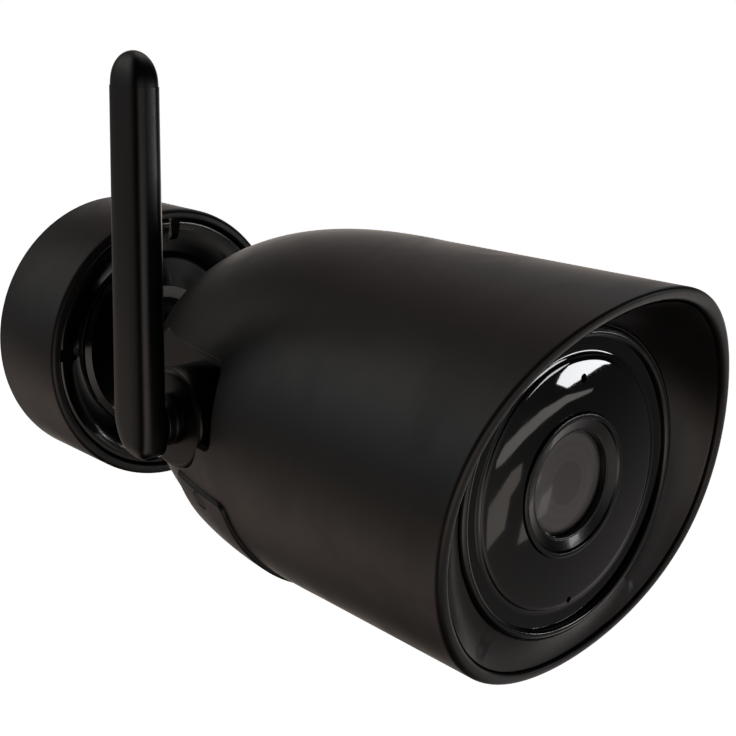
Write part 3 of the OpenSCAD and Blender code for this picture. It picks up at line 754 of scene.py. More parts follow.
CARRIED_OVER: dict[str, Finish] = {
    "base_pad": PAD_FOAM, "friction_shoe": ACETAL, "collar_liner": ACETAL, "stem_seal": SEAL_RUBBER,
    "stem_washer": STEEL, "stem_nut": STEEL, "panel_gasket": SEAL_RUBBER, "lens_barrel": OPTIC_BLACK,
    "lens_front": INNER_GLASS, "lens_rear": INNER_GLASS, "lens_holder": OPTIC_BLACK,
    "ir_cut_slide": OPTIC_BLACK, "ir_filters": FILTER, "image_sensor": CHIP, "sensor_board": BOARD,
    "led_board": BOARD, "ir_leds": EMITTER, "light_sensor": NYLON, "microphone": STEEL,
    "chassis": CHASSIS, "chassis_screws": STEEL, "main_board": BOARD, "processor": CHIP,
    "heat_spreader": ALUMINIUM, "wifi_module": STEEL, "power_connector": NYLON, "card_board": BOARD,
    "card_socket": STEEL, "memory_card": CHIP, "reset_switch": OPTIC_BLACK, "reset_button": BUTTON_RED,
    "hatch_seal": SEAL_RUBBER, "hatch_screws": BLACKENED_STEEL, "gland_nut": OPTIC_BLACK,
    "antenna_seal": SEAL_RUBBER, "antenna_clip": STEEL, "antenna_rod": BRASS,
}


def dress(piece: bpy.types.Object, body: str, finish: Finish, *nodes: str) -> bpy.types.Object:
    """Gives a finished piece its material and body, and hides the CAD nodes it stands for.

    Args:
        piece: the finished mesh.
        body: CAD body that it rides on.
        finish: its finish.
        nodes: CAD nodes that it replaces.

    Returns:
        The same piece.
    """
    piece.data.materials.clear()
    piece.data.materials.append(finish.material())
    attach(piece, body)
    if nodes:
        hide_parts(*nodes)
    LOG.info("%s on %s: %d faces", piece.name, body, len(piece.data.polygons))
    return piece


# ---------------------------------------------------------------- sub-assemblies

@dataclass
class BodyShape:
    """The body's outer surface: a rounded rear that runs into a slightly flared tube."""

    rear_seat: float = field(default_factory=lambda: reach("housing")[0])
    panel: float = field(default_factory=lambda: reach("window_ring")[1] - 1.0)
    tip_inset: float = 1.6
    dome_length: float = 70.2
    dome_radius: float = 39.2
    flare: float = 0.015
    swell: float = 2.46
    shoulder: float = 2.14

    @property
    def tip(self) -> float:
        """Distance of the rounded rear's tip from the wall."""
        return self.rear_seat - self.tip_inset

    @property
    def dome_end(self) -> float:
        """Distance at which the rounded rear ends."""
        return self.tip + self.dome_length

    @property
    def hood_radius(self) -> float:
        """Outer radius at the front panel."""
        return self.radius_at(self.panel)

    def radius_at(self, s: float) -> float:
        """Gives the outer radius at a distance from the wall.

        Args:
            s: distance from the wall.

        Returns:
            The radius.
        """
        if s >= self.dome_end:
            return self.dome_radius + self.flare * (s - self.dome_end)
        share = min(1.0, (self.dome_end - s) / self.dome_length)
        return self.dome_radius * (1 - share ** self.swell) ** (1 / self.shoulder)

    def skin(self, s: float, off: float = 0.0) -> Spot:
        """Gives radius and distance of the surface at s, moved outward by off.

        Args:
            s: distance from the wall.
            off: how far outward, square to the surface.

        Returns:
            The radius and the distance.
        """
        slope = (self.radius_at(s + 0.05) - self.radius_at(s - 0.05)) / 0.1
        length = math.sqrt(1 + slope * slope)
        return self.radius_at(s) + off / length, s - off * slope / length

    def lip_at(self, up: float) -> float:
        """Gives the distance of the hood's slanted, curled edge at a height."""
        h = up / self.hood_radius
        return self.panel + 6.0 + 5.7 * h + 1.5 * h * h + 4.1 * h ** 3

    def solid(self, name: str, off: float) -> bpy.types.Object:
        """Makes a plain solid of the surface moved by off, used as a tool.

        Args:
            name: name of the tool.
            off: how far outward the surface is moved.

        Returns:
            The new object.
        """
        stations = [self.rear_seat + (self.dome_end - self.rear_seat) * (i / 40) ** 1.6 for i in range(41)]
        profile = [self.skin(s, off) for s in stations]
        front = self.panel - 10
        profile = [(0.0, profile[0][1]), *profile, (self.radius_at(front) + off, front), (0.0, front)]
        return turned(name, profile, steps=160)


@dataclass
class WallBase:
    """The round cup that is screwed to the wall."""

    radius: float = field(default_factory=lambda: span("base_cup", 0)[1])
    back: float = field(default_factory=lambda: reach("base_cup")[0])
    front: float = field(default_factory=lambda: reach("base_cup")[1])
    bore: float = field(default_factory=lambda: span("clamp_collar", 0)[1] + 0.05)
    floor: float = 2.8
    seat_radius: float = field(default_factory=lambda: span("friction_shoe", 0)[1] + 0.05)
    screw_circle: float = 24.5
    screw_radius: float = 2.25
    screws: int = 3

    def build(self) -> None:
        """Builds the cup with its rounded front edge and three screw holes."""
        floor = self.back + self.floor
        cup = turned("base_cup_moulding", soften([
            (0, self.back, 0), (self.radius, self.back, 0.5), (self.radius, self.front, 1.5),
            (self.bore, self.front, 0.4), (self.bore, floor, 1.2), (self.seat_radius * 0.93, floor, 0.8),
            (self.seat_radius * 0.90, floor + 6.0, 0.5), (self.seat_radius * 0.66, floor + 5.6, 0.3),
            (0, floor - 0.9, 0)]), steps=160)
        for k in range(self.screws):
            turn = math.radians(90 + 360 * k / self.screws)
            hole = Axis(place(self.screw_circle * math.cos(turn), self.screw_circle * math.sin(turn), 0),
                        MAIN_AXIS.along, MAIN_AXIS.across, MAIN_AXIS.up)
            carve(cup, turned("hole_tool", [
                (0, -1), (self.screw_radius + 0.5, -1), (self.screw_radius + 0.5, self.back),
                (self.screw_radius, self.back + 0.5), (self.screw_radius, floor + 1), (0, floor + 1)],
                hole, steps=40))
        dress(cup, "base", SATIN_BASE, "base_cup")


@dataclass
class ClampCollar:
    """The glossy screw collar that clamps the ball, with its grip slots."""

    radius: float = field(default_factory=lambda: span("clamp_collar", 0)[1])
    back: float = field(default_factory=lambda: reach("clamp_collar")[0])
    front: float = field(default_factory=lambda: reach("clamp_collar")[1])
    mouth: float = 21.5
    web: float = 20.4
    web_thickness: float = 2.0
    nose: float = 14.2
    slots: int = 4
    slot_width: float = 3.0
    slot_phase: float = -3.0
    slot_length: float = 6.4
    slot_depth: float = 1.9

    def build(self) -> None:
        """Builds the collar as a turned ring and cuts the slots into its face."""
        collar = turned("clamp_collar_moulding", [
            (self.radius - 2.6, self.back), (self.radius, self.back), (self.radius, self.front - 2.6),
            *soften([(self.radius, self.front - 2.4, 0), (self.radius, self.front, 1.9),
                     (self.radius - 4.0, self.front - 0.1, 0)], 8)[:-1],
            (self.radius - 3.0, self.front - 0.15), (self.radius - 5.0, self.front - 0.7),
            (self.radius - 7.0, self.front - 1.7), (self.radius - 8.7, self.front - 3.0),
            (self.mouth - 0.1, self.web + self.web_thickness + 1.1),
            (self.mouth - 0.5, self.web + self.web_thickness),
            (self.nose, self.web + self.web_thickness), (self.nose, self.web),
            (self.radius - 2.6, self.web)], steps=160, crease=40)
        for k in range(self.slots):
            turn = math.radians(self.slot_phase + 360 * k / self.slots)
            out = Vector((math.cos(turn), 0, math.sin(turn)))
            side = Vector((-math.sin(turn), 0, math.cos(turn)))
            outline = rounded_box(self.slot_length, self.slot_width, 1.0)
            middle = self.radius - 2.2
            rings = [[(out * (middle + x) + side * y) * MM + place(0, 0, s) for x, y in outline]
                     for s in (self.front - self.slot_depth, self.front + 1)]
            carve(collar, loft("slot_tool", rings))
        dress(collar, "collar", COLLAR_GLOSS, "clamp_collar")


@dataclass
class BallStem:
    """The ball, its neck and the flange that seats on the body."""

    centre: float = 17.0
    ball: float = field(default_factory=lambda: span("ball_stem", 0)[1])
    neck: float = 5.5
    flange: float = 9.4
    seat: float = field(default_factory=lambda: BodyShape().rear_seat - 0.05)
    stem: float = 5.0
    tip: float = field(default_factory=lambda: reach("ball_stem")[1])

    def build(self) -> None:
        """Builds ball, neck and flange as one turned piece with a smooth neck."""
        start = math.asin(self.neck / self.ball)
        arc = [(self.ball * math.sin(a), self.centre - self.ball * math.cos(a))
               for a in [math.pi * k / 40 for k in range(41)] if a < math.pi - start]
        neck = soften([
            (self.neck, self.centre + self.ball * math.cos(start), 2.4),
            (self.neck, self.seat - 5.0, 1.6), (self.flange, self.seat - 2.6, 0.8),
            (self.flange, self.seat, 0.2), (self.stem, self.seat, 0), (self.stem, self.tip, 0.6),
            (0, self.tip, 0)])
        stem = turned("ball_stem_moulding", [*arc, *neck], steps=96)
        dress(stem, "ball", STEM_BLACK, "ball_stem")


@dataclass
class Housing:
    """The long body moulding with its hood lip, antenna pocket and hatch seat."""

    shape: BodyShape
    wall: float = 2.6
    stem_bore: float = 5.05
    seat_depth: float = 5.0
    lip_outer: float = 1.15
    lip_inner: float = 0.85
    inner_start: float = 8.5
    steps: int = 180

    def outline_at(self, turn: float) -> list[Spot]:
        """Gives the closed section of the housing's wall at one angle round the body.

        Args:
            turn: angle round the axis, in radians.

        Returns:
            Radius and distance of each point, from the stem's bore round to its inner end.
        """
        shape, section = self.shape, []
        rear, end = shape.rear_seat, shape.dome_end
        bore = self.stem_bore
        section += [(bore, rear + self.seat_depth), (bore, rear + 0.4), (bore + 0.4, rear)]
        start = shape.radius_at(rear)
        section += [(start - 0.7, rear), (start - 0.25, rear + 0.07)]
        section += [shape.skin(rear + 0.25 + (end - rear - 0.25) * (i / 44) ** 1.5) for i in range(45)]
        top = shape.hood_radius * math.sin(turn)
        front = shape.lip_at(top) - self.lip_outer - 0.3
        section += [shape.skin(end + (front - end) * i / 24) for i in range(1, 25)]
        section += self.lip_section(turn)
        inner_front = section[-1][1]
        inner_rear = rear + self.inner_start
        deepest = shape.skin(inner_rear, -self.wall)
        for i in range(1, 31):
            s = inner_front + (inner_rear - inner_front) * i / 30
            section.append(shape.skin(s, -self.wall))
        section += [(deepest[0] * 0.75, rear + self.seat_depth + 0.6), (bore + 5, rear + self.seat_depth)]
        return section

    def lip_section(self, turn: float) -> list[Spot]:
        """Gives the rolled edge of the hood at one angle, from its outside to its inside.

        Args:
            turn: angle round the axis, in radians.

        Returns:
            Radius and distance of each point.
        """
        shape, points = self.shape, []
        outer = shape.radius_at(shape.lip_at(shape.hood_radius * math.sin(turn)))
        inner = outer - self.wall
        for k in range(9):
            a = math.pi / 2 * k / 8
            radius = outer - self.lip_outer * (1 - math.cos(a))
            edge = shape.lip_at(radius * math.sin(turn))
            points.append((radius, edge - self.lip_outer * (1 - math.sin(a))))
        for k in range(7):
            a = math.pi / 2 * k / 6
            radius = inner + self.lip_inner * (1 - math.sin(a))
            edge = shape.lip_at(radius * math.sin(turn))
            points.append((radius, edge - self.lip_inner * (1 - math.cos(a))))
        return points

    def build(self, pocket: "AntennaPocket", hatch: "Hatch") -> None:
        """Builds the shell, then adds the pocket's walls and cuts pocket, hatch seat and inlet.

        Args:
            pocket: the recess that the antenna turns in.
            hatch: the service hatch, which gives its seat.
        """
        turns = [2 * math.pi * i / self.steps for i in range(self.steps)]
        sections = [self.outline_at(t) for t in turns]
        rings = [[MAIN_AXIS.point(sections[i][k][0], sections[i][k][1], t) for i, t in enumerate(turns)]
                 for k in range(len(sections[0]))]
        housing = loft("housing_moulding", rings, wrap=True)
        walls = pocket.walls()
        carve(walls, self.shape.solid("inside_tool", -self.wall / 2), Cut.KEEP_COMMON)
        carve(housing, walls, Cut.ADD)
        for tool in (pocket.opening(), pocket.well(), hatch.seat(), hatch.window(), self.inlet_tool()):
            carve(housing, tool)
        dress(housing, "camera", SATIN_BODY, "housing")

    def inlet_tool(self) -> bpy.types.Object:
        """Makes the tool for the round hole and recess of the lead inlet."""
        gland, inside, outside = LeadInlet(), 20, 60
        return turned("inlet_tool", [(0, inside), (gland.neck + 0.1, inside), (gland.neck + 0.1, gland.seat),
                                     (gland.radius + 0.15, gland.seat), (gland.radius + 0.15, outside),
                                     (0, outside)], gland.axis, steps=56)


@dataclass
class AntennaPocket:
    """The recess in the body's side, open to the rear, and the round well of the boss."""

    shape: BodyShape
    floor: float = field(default_factory=lambda: -span("antenna_boss", 0)[1])
    end: float = 94.6
    low: float = -1.5
    high: float = 15.5
    corner: float = 2.0
    edge: float = 1.1
    wall: float = 2.2
    boss: float = field(
        default_factory=lambda: (span("antenna_boss", 2)[1] - span("antenna_boss", 2)[0]) / 2)

    def skin_at(self, s: float, up: float) -> float:
        """Gives how far out the body's skin lies at a place on its side."""
        radius = self.shape.radius_at(s) if s > self.shape.tip else 0.0
        return math.sqrt(max(0.0, radius * radius - up * up))

    def opening(self) -> bpy.types.Object:
        """Makes the tool for the recess, flared at its mouth so that the edge comes out rounded.

        Returns:
            The new object.
        """
        long, tall = self.end - self.shape.tip + 6, self.high - self.low
        middle_s, middle_up = self.end - long / 2, (self.high + self.low) / 2
        outline = even_spots(rounded_box(long, tall, self.corner), 200)
        count = len(outline)
        rings = [[(s, up, self.floor) for s, up in outline]]
        flares = [k / 7 * math.radians(74) for k in range(8)]
        for turn in [*flares, None]:
            ring = []
            for i, (s, up) in enumerate(outline):
                before, after = Vector(outline[i - 1]), Vector(outline[(i + 1) % count])
                along = (after - before).normalized()
                out = Vector((along.y, -along.x))
                angle = flares[-1] if turn is None else turn
                spread = self.edge * (1 - math.cos(angle)) + (1.2 if turn is None else 0.0)
                place_s, place_up = s + out.x * spread, up + out.y * spread
                skin = self.skin_at(place_s + middle_s, place_up + middle_up)
                depth = skin - self.edge * (1 - math.sin(angle)) + (1.0 if turn is None else 0.0)
                lowest = self.floor + 0.03 * len(rings)
                ring.append((place_s, place_up, max(depth, lowest)))
            rings.append(ring)
        rings.append([(s, up, 48.0) for s, up, _ in rings[-1]])
        return loft("pocket_tool", [[place(-x, up + middle_up, s + middle_s) for s, up, x in ring]
                                    for ring in rings])

    def well(self) -> bpy.types.Object:
        """Makes the tool for the boss's round well and the shaft's hole behind it."""
        axis, radius = Antenna().axis, self.boss + 0.15
        return turned("well_tool", [(0, self.floor - 8), (4.0, self.floor - 8), (4.0, self.floor),
                                    (radius, self.floor), (radius, 60), (0, 60)], axis, steps=96)

    def walls(self) -> bpy.types.Object:
        """Makes the solid that the recess and the well are cut into.

        Returns:
            The new object.
        """
        axis = Antenna().axis
        base = self.floor - self.wall
        block = loft("pocket_walls", [
            [place(-x, up, s) for up, s in ((self.low - self.wall, self.shape.tip),
                                            (self.high + self.wall, self.shape.tip),
                                            (self.high + self.wall, self.end + self.wall),
                                            (self.low - self.wall, self.end + self.wall))]
            for x in (base, 46.0)])
        drum = turned("drum", [(0, base), (self.boss + self.wall, base), (self.boss + self.wall, 45.0),
                               (0, 45.0)], axis, steps=72)
        carve(block, drum, Cut.ADD)
        return block


@dataclass
class Hatch:
    """The service hatch low on the body's antenna side."""

    shape: BodyShape
    width: float = 32.0
    length: float = 19.0
    corner: float = 2.0
    proud: float = 0.8
    skin: float = 1.2
    seal: float = 0.6
    gap: float = 0.1
    screw_turn: float = 20.5

    @property
    def outward(self) -> Vector:
        """Direction in which the hatch faces, as the reset button's joint has it."""
        axis = next(j for j in frame["joints"] if j["name"] == "reset_press")["axis"]
        return Vector(axis).normalized()

    @property
    def middle(self) -> float:
        """Distance of the hatch's middle from the wall."""
        return sum(reach("hatch_cover")) / 2

    def point(self, sideways: float, forward: float, off: float) -> Vector:
        """Gives the point over the hatch at two offsets, off the body's skin by off.

        Args:
            sideways: offset round the body.
            forward: offset towards the lens.
            off: height over the skin.

        Returns:
            The point.
        """
        out = self.outward
        side = Vector((-out.z, 0, out.x))
        s = self.middle + forward
        radius = self.shape.radius_at(s) + off
        height = math.sqrt(max(0.0, radius * radius - sideways * sideways))
        return (side * sideways + out * height) * MM + place(0, 0, s)

    def patch(self, name: str, grow: float, levels: Sequence[Spot]) -> bpy.types.Object:
        """Makes a solid that follows the skin, with a ring of its outline at each level.

        Args:
            name: name of the piece.
            grow: how much larger than the cover its outline is.
            levels: inset of the outline and height over the skin, from the back to the front.

        Returns:
            The new object.
        """
        count = 120
        rings: list[list[Vector]] = []
        faces_in = [1 - k / 9 for k in range(1, 9)]
        first, last = levels[0], levels[-1]
        order = [(first[0], first[1], f) for f in reversed(faces_in)]
        order += [(inset, off, 1.0) for inset, off in levels]
        order += [(last[0], last[1], f) for f in faces_in]
        for inset, off, share in order:
            wide, long = self.width + 2 * (grow - inset), self.length + 2 * (grow - inset)
            outline = even_spots(rounded_box(wide, long, max(0.3, self.corner + grow - inset)), count)
            rings.append([self.point(x * share, y * share, off) for x, y in outline])
        return loft(name, rings)

    def seat(self) -> bpy.types.Object:
        """Makes the tool for the recess that holds the cover and its seal."""
        return self.patch("hatch_seat_tool", self.gap, [(0, -self.skin - self.seal), (0, 6.0)])

    def window(self) -> bpy.types.Object:
        """Makes the tool for the opening behind the cover."""
        return self.patch("hatch_window_tool", 0, [(4.0, -9.0), (4.0, 3.0)])

    def build(self) -> None:
        """Builds the cover with a rounded rim and its two countersunk screw holes."""
        edge = 0.55
        rim = [(edge * (1 - math.sin(a)), self.proud - edge * (1 - math.cos(a)))
               for a in [math.pi / 2 * (1 - k / 5) for k in range(6)]]
        cover = self.patch("hatch_cover_moulding", 0, [(0.3, -self.skin), (0, -self.skin + 0.3), *rim])
        radius = self.shape.radius_at(self.middle)
        for side in (-1, 1):
            turn = math.atan2(self.outward.z, self.outward.x) + side * math.radians(self.screw_turn)
            out = Vector((math.cos(turn), 0, math.sin(turn)))
            axis = Axis(place(0, 0, self.middle), out, MAIN_AXIS.along, out.cross(MAIN_AXIS.along))
            carve(cover, turned("countersink_tool", [
                (0, radius - 6), (1.1, radius - 6), (1.1, radius - 0.5), (2.3, radius + 0.7),
                (2.3, radius + 4), (0, radius + 4)], axis, steps=40))
        dress(cover, "camera", SATIN_BODY, "hatch_cover")


@dataclass
class HoodFunnel:
    """The inner moulding that runs from the window ring out to the hood's lip."""

    shape: BodyShape
    wall: float = 2.6
    ring: float = field(default_factory=lambda: span("window_ring", 0)[1] + 0.1)
    back: float = field(default_factory=lambda: reach("face_bezel")[0])
    flange: float = 26.3
    steps: int = 180

    def outline_at(self, turn: float) -> list[Spot]:
        """Gives the closed section of the funnel at one angle round the body.

        Args:
            turn: angle round the axis, in radians.

        Returns:
            Radius and distance of each point.
        """
        shape = self.shape
        outer = shape.hood_radius - self.wall - 0.1
        mouth = outer - 0.25
        lip = shape.lip_at(mouth * math.sin(turn)) - 0.85
        low = shape.panel + 0.25
        rise = lip - low
        section: list[Spot] = [(outer, self.back), (outer, (self.back + lip) / 2), (outer, lip - 0.5),
                               (outer - 0.1, lip - 0.1), (mouth, lip)]
        for k in range(1, 18):
            share = 1 - k / 18
            sag = 0.9 * math.sin(math.pi * share) * (1 if rise > 0 else 0.4)
            section.append((self.ring + (mouth - self.ring) * share, low + rise * share - sag))
        section += [(self.ring + 0.35, low), (self.ring + 0.08, low - 0.15), (self.ring, low - 0.45)]
        section += [(self.ring, shape.panel - 3.5), (self.flange, shape.panel - 3.5),
                    (self.flange, self.back), (self.flange + 6, self.back)]
        return section

    def build(self) -> None:
        """Builds the funnel."""
        turns = [2 * math.pi * i / self.steps for i in range(self.steps)]
        sections = [self.outline_at(t) for t in turns]
        rings = [[MAIN_AXIS.point(*sections[i][k], t) for i, t in enumerate(turns)]
                 for k in range(len(sections[0]))]
        dress(loft("face_bezel_moulding", rings, wrap=True), "camera", HOOD_INSIDE, "face_bezel")


@dataclass
class FrontWindow:
    """The window ring, the glossy panel and the lens with its trim ring."""

    panel: float = field(default_factory=lambda: BodyShape().panel)
    ring_radius: float = field(default_factory=lambda: span("window_ring", 0)[1])
    panel_radius: float = field(default_factory=lambda: span("face_panel", 0)[1])
    lens_ring_radius: float = 14.0
    lens_radius: float = field(default_factory=lambda: span("lens_window", 0)[1])

    def build_ring(self) -> None:
        """Builds the thin rounded bead round the panel."""
        inner, outer, s = self.panel_radius - 0.4, self.ring_radius, self.panel
        bead = [(inner + (outer - inner) * (0.5 - 0.5 * math.cos(a)), s + 1.0 * math.sin(a) ** 0.8)
                for a in [math.pi * k / 16 for k in range(1, 16)]]
        ring = turned("window_ring_moulding", [
            (self.panel_radius + 0.1, s - 3.5), (outer, s - 3.5), (outer, s + 0.02), *reversed(bead),
            (inner, s), (self.panel_radius + 0.1, s)], steps=180, crease=50)
        dress(ring, "camera", RING_GLOSS, "window_ring")

    def build_panel(self) -> None:
        """Builds the crowned panel with its stepped rim, light sensor window and microphone hole."""
        s, step, hole = self.panel, self.panel_radius - 4.1, self.lens_ring_radius + 0.1
        crown = [(step + (hole - step) * i / 14) for i in range(1, 15)]
        dome = [(r, s + 0.25 + 0.8 * (1 - (r / step) ** 2)) for r in crown]
        panel = turned("front_panel", [
            (hole, s - 2.3), (self.panel_radius, s - 2.3), (self.panel_radius, s - 0.2),
            (self.panel_radius - 0.15, s - 0.06), (step + 1.4, s - 0.12), (step + 0.45, s - 0.16),
            (step + 0.2, s - 0.05), (step + 0.05, s + 0.16), (step - 0.2, s + 0.255), *dome], steps=180)
        for across, up, radius, depth in ((1.1, 20.4, 0.75, 0.5), (1.6, -23.6, 0.6, 3.5)):
            axis = Axis(place(across, up, 0), MAIN_AXIS.along, MAIN_AXIS.across, MAIN_AXIS.up)
            carve(panel, turned("pin_hole_tool", [
                (0, s - depth), (radius, s - depth), (radius, s + 0.3), (radius + 0.6, s + 2), (0, s + 2)],
                axis, steps=32))
        dress(panel, "camera", PANEL_GLOSS, "face_panel")

    def build_lens(self) -> None:
        """Builds the stepped trim ring and the crowned lens face."""
        s, outer, seat = self.panel, self.lens_ring_radius, self.lens_radius + 0.1
        ring = turned("lens_ring_moulding", soften([
            (seat - 1.0, s - 3.8, 0), (outer + 1.6, s - 3.8, 0.1), (outer + 1.6, s - 2.3, 0.1),
            (outer, s - 2.3, 0), (outer, s + 1.3, 0.35), (outer - 1.0, s + 1.3, 0.35),
            (outer - 1.4, s + 0.95, 0.3), (seat + 0.5, s + 0.35, 0.3), (seat, s + 0.3, 0.15),
            (seat, s - 1.5, 0), (seat - 1.0, s - 1.5, 0)], steps=6), steps=140)
        dress(ring, "camera", LENS_RING, "lens_ring")
        radius = self.lens_radius
        face = [(radius * (1 - i / 12), s - 1.15 + 0.35 * (1 - (1 - i / 12) ** 2)) for i in range(13)]
        lens = turned("lens_window_glass", [(0, s - 1.5), (radius - 0.1, s - 1.5), (radius, s - 1.4), *face],
                      steps=120)
        dress(lens, "camera", LENS_FACE_PAINTED, "lens_window")

    def build(self) -> None:
        """Builds all the pieces of the front."""
        self.build_ring()
        self.build_panel()
        self.build_lens()


@dataclass
class Antenna:
    """The boss on the body's side, the swivel knuckle and the flat tapering blade."""

    pivot_up: float = field(default_factory=lambda: sum(span("antenna_boss", 2)) / 2)
    pivot: float = field(default_factory=lambda: sum(reach("antenna_boss")) / 2)
    boss: float = field(default_factory=lambda: (reach("antenna_boss")[1] - reach("antenna_boss")[0]) / 2)
    boss_face: float = field(default_factory=lambda: -span("antenna_boss", 0)[0])
    boss_back: float = field(default_factory=lambda: -span("antenna_boss", 0)[1])
    knuckle: float = 5.3
    shaft: float = 3.0
    shaft_end: float = field(default_factory=lambda: -span("antenna_knuckle", 0)[1])
    inner: float = field(default_factory=lambda: -span("antenna_blade", 0)[1])
    outer: float = field(default_factory=lambda: -span("antenna_blade", 0)[0])
    top: float = field(default_factory=lambda: span("antenna_blade", 2)[1])
    bottom: float = field(default_factory=lambda: span("antenna_blade", 2)[0])
    width: float = 12.0
    heel: float = 9.0
    taper: float = 0.11
    dome: float = 6.6
    squareness: float = 3.3
    sole: float = 2.4

    @property
    def axis(self) -> Axis:
        """The line that the antenna swings about, pointing out of the body's side."""
        return Axis(place(0, self.pivot_up, self.pivot), Vector((-1, 0, 0)), Vector((0, -1, 0)),
                    Vector((0, 0, 1)))

    def build_mount(self) -> None:
        """Builds the boss with its rounded rim, and the knuckle that turns in it."""
        boss = turned("antenna_boss_moulding", soften([
            (self.shaft + 0.05, self.boss_back, 0), (self.boss, self.boss_back, 0),
            (self.boss, self.boss_face, 1.1), (self.shaft + 2.2, self.boss_face, 0.3),
            (self.shaft + 1.5, self.boss_face - 0.7, 0.1), (self.shaft + 1.5, self.boss_face - 1.4, 0),
            (self.shaft + 0.05, self.boss_face - 1.4, 0)], steps=7), self.axis, steps=112)
        dress(boss, "camera", ANTENNA_MOUNT, "antenna_boss")
        groove = (self.boss_face + self.inner) / 2
        knuckle = turned("antenna_knuckle_moulding", soften([
            (0, self.shaft_end, 0), (self.shaft, self.shaft_end, 0.4), (self.shaft, self.boss_face + 0.3, 0),
            (self.knuckle, self.boss_face + 0.3, 0.5), (self.knuckle, groove - 0.3, 0.1),
            (self.knuckle - 0.35, groove, 0.1), (self.knuckle, groove + 0.3, 0.1),
            (self.knuckle, self.inner, 0.3), (self.shaft, self.inner, 0), (self.shaft, self.inner + 3.6, 0),
            (0, self.inner + 3.6, 0)], steps=5), self.axis, steps=72)
        dress(knuckle, "antenna", ANTENNA_MOUNT, "antenna_knuckle")

    def section_at(self, up: float) -> tuple[float, float, float, float]:
        """Gives the blade's section at a height above its bottom.

        Args:
            up: height above the blade's lowest point.

        Returns:
            Middle and half width along the body, and middle and half depth across it.
        """
        length = self.top - self.bottom
        slim = 1 - self.taper * up / length
        half = self.width / 2 * slim
        depth = (self.outer - self.inner) / 2 * (1 - 0.06 * up / length)
        rear, front = -half, half
        if up < self.heel:
            rear = -half + self.heel - math.sqrt(max(0.0, self.heel ** 2 - (self.heel - up) ** 2))
        rise = up - (length - self.dome)
        if rise > 0:
            share = math.sqrt(max(0.0, 1 - (rise / self.dome) ** 2.3)) * 0.97
            rear, front, depth = rear * share, front * share, depth * share
        return (rear + front) / 2, (front - rear) / 2, (self.inner + self.outer) / 2, depth

    def heights(self) -> list[float]:
        """Gives the heights of the blade's rings, close together at both ends.

        Returns:
            Each height above the blade's lowest point.
        """
        length, straight = self.top - self.bottom, self.top - self.bottom - self.dome
        low = [self.heel * (1 - math.cos(math.pi / 2 * k / 14)) for k in range(15)]
        middle = [self.heel + (straight - self.heel) * k / 16 for k in range(1, 17)]
        high = [straight + self.dome * math.sin(math.pi / 2 * k / 14) for k in range(14)]
        return [*low, *middle, straight + 0.02, *high[1:], length - 0.02]

    def build_blade(self) -> None:
        """Builds the blade: a soft-edged bar with a round heel and a domed tip."""
        count, bottom_edge = 88, self.sole
        rings: list[list[Vector]] = []
        for up in self.heights():
            middle, half, across, depth = self.section_at(up)
            inset = bottom_edge * (1 - math.sqrt(max(0.0, 1 - (1 - up / bottom_edge) ** 2))) \
                if up < bottom_edge else 0.0
            half, depth = max(0.4, half - inset), max(0.4, depth - inset)
            ring = []
            for i in range(count):
                turn = 2 * math.pi * i / count
                power = 2 / self.squareness
                x = math.copysign(abs(math.cos(turn)) ** power, math.cos(turn))
                y = math.copysign(abs(math.sin(turn)) ** power, math.sin(turn))
                ring.append(place(-(across + depth * y), self.bottom + up, self.pivot + middle + half * x))
            rings.append(ring)
        blade = loft("antenna_blade_moulding", rings, crease=28)
        socket = turned("socket_tool", [(0, self.inner - 1), (self.shaft + 0.02, self.inner - 1),
                                        (self.shaft + 0.02, self.inner + 3.8), (0, self.inner + 3.8)],
                        self.axis, steps=48)
        carve(blade, socket, crease=28)
        dress(blade, "antenna", ANTENNA_SATIN, "antenna_blade")

    def build(self) -> None:
        """Builds the mount and the blade."""
        self.build_mount()
        self.build_blade()


@dataclass
class LeadInlet:
    """The rubber gland on the far side, where the power lead goes in."""

    bore: float = 2.4
    neck: float = 4.6
    radius: float = 6.2
    seat: float = field(default_factory=lambda: span("cable_gland", 0)[1] - 2.4)
    face: float = field(default_factory=lambda: span("cable_gland", 0)[1])
    back: float = field(default_factory=lambda: span("cable_gland", 0)[0])

    @property
    def axis(self) -> Axis:
        """The gland's axis, pointing out of the body's side."""
        s, up = sum(reach("cable_gland")) / 2, sum(span("cable_gland", 2)) / 2
        return Axis(place(0, up, s), Vector((1, 0, 0)), Vector((0, -1, 0)), Vector((0, 0, 1)))

    def build(self) -> None:
        """Builds the gland with a soft flange, a raised lip and a flared mouth."""
        gland = turned("cable_gland_rubber", soften([
            (self.bore, self.back, 0.2), (self.neck, self.back, 0.3), (self.neck, self.seat, 0.2),
            (self.radius, self.seat, 0.2), (self.radius, self.face - 0.6, 0.7),
            (self.bore + 1.9, self.face - 0.5, 0.2), (self.bore + 1.5, self.face, 0.3),
            (self.bore + 0.5, self.face, 0.2), (self.bore, self.face - 0.6, 0.2)]), self.axis, steps=72)
        dress(gland, "camera", GLAND_RUBBER, "cable_gland")


# ---------------------------------------------------------------- stage, light and camera

SOFTNESS = 18.0
AMBIENT = (0.004, 0.004, 0.004)


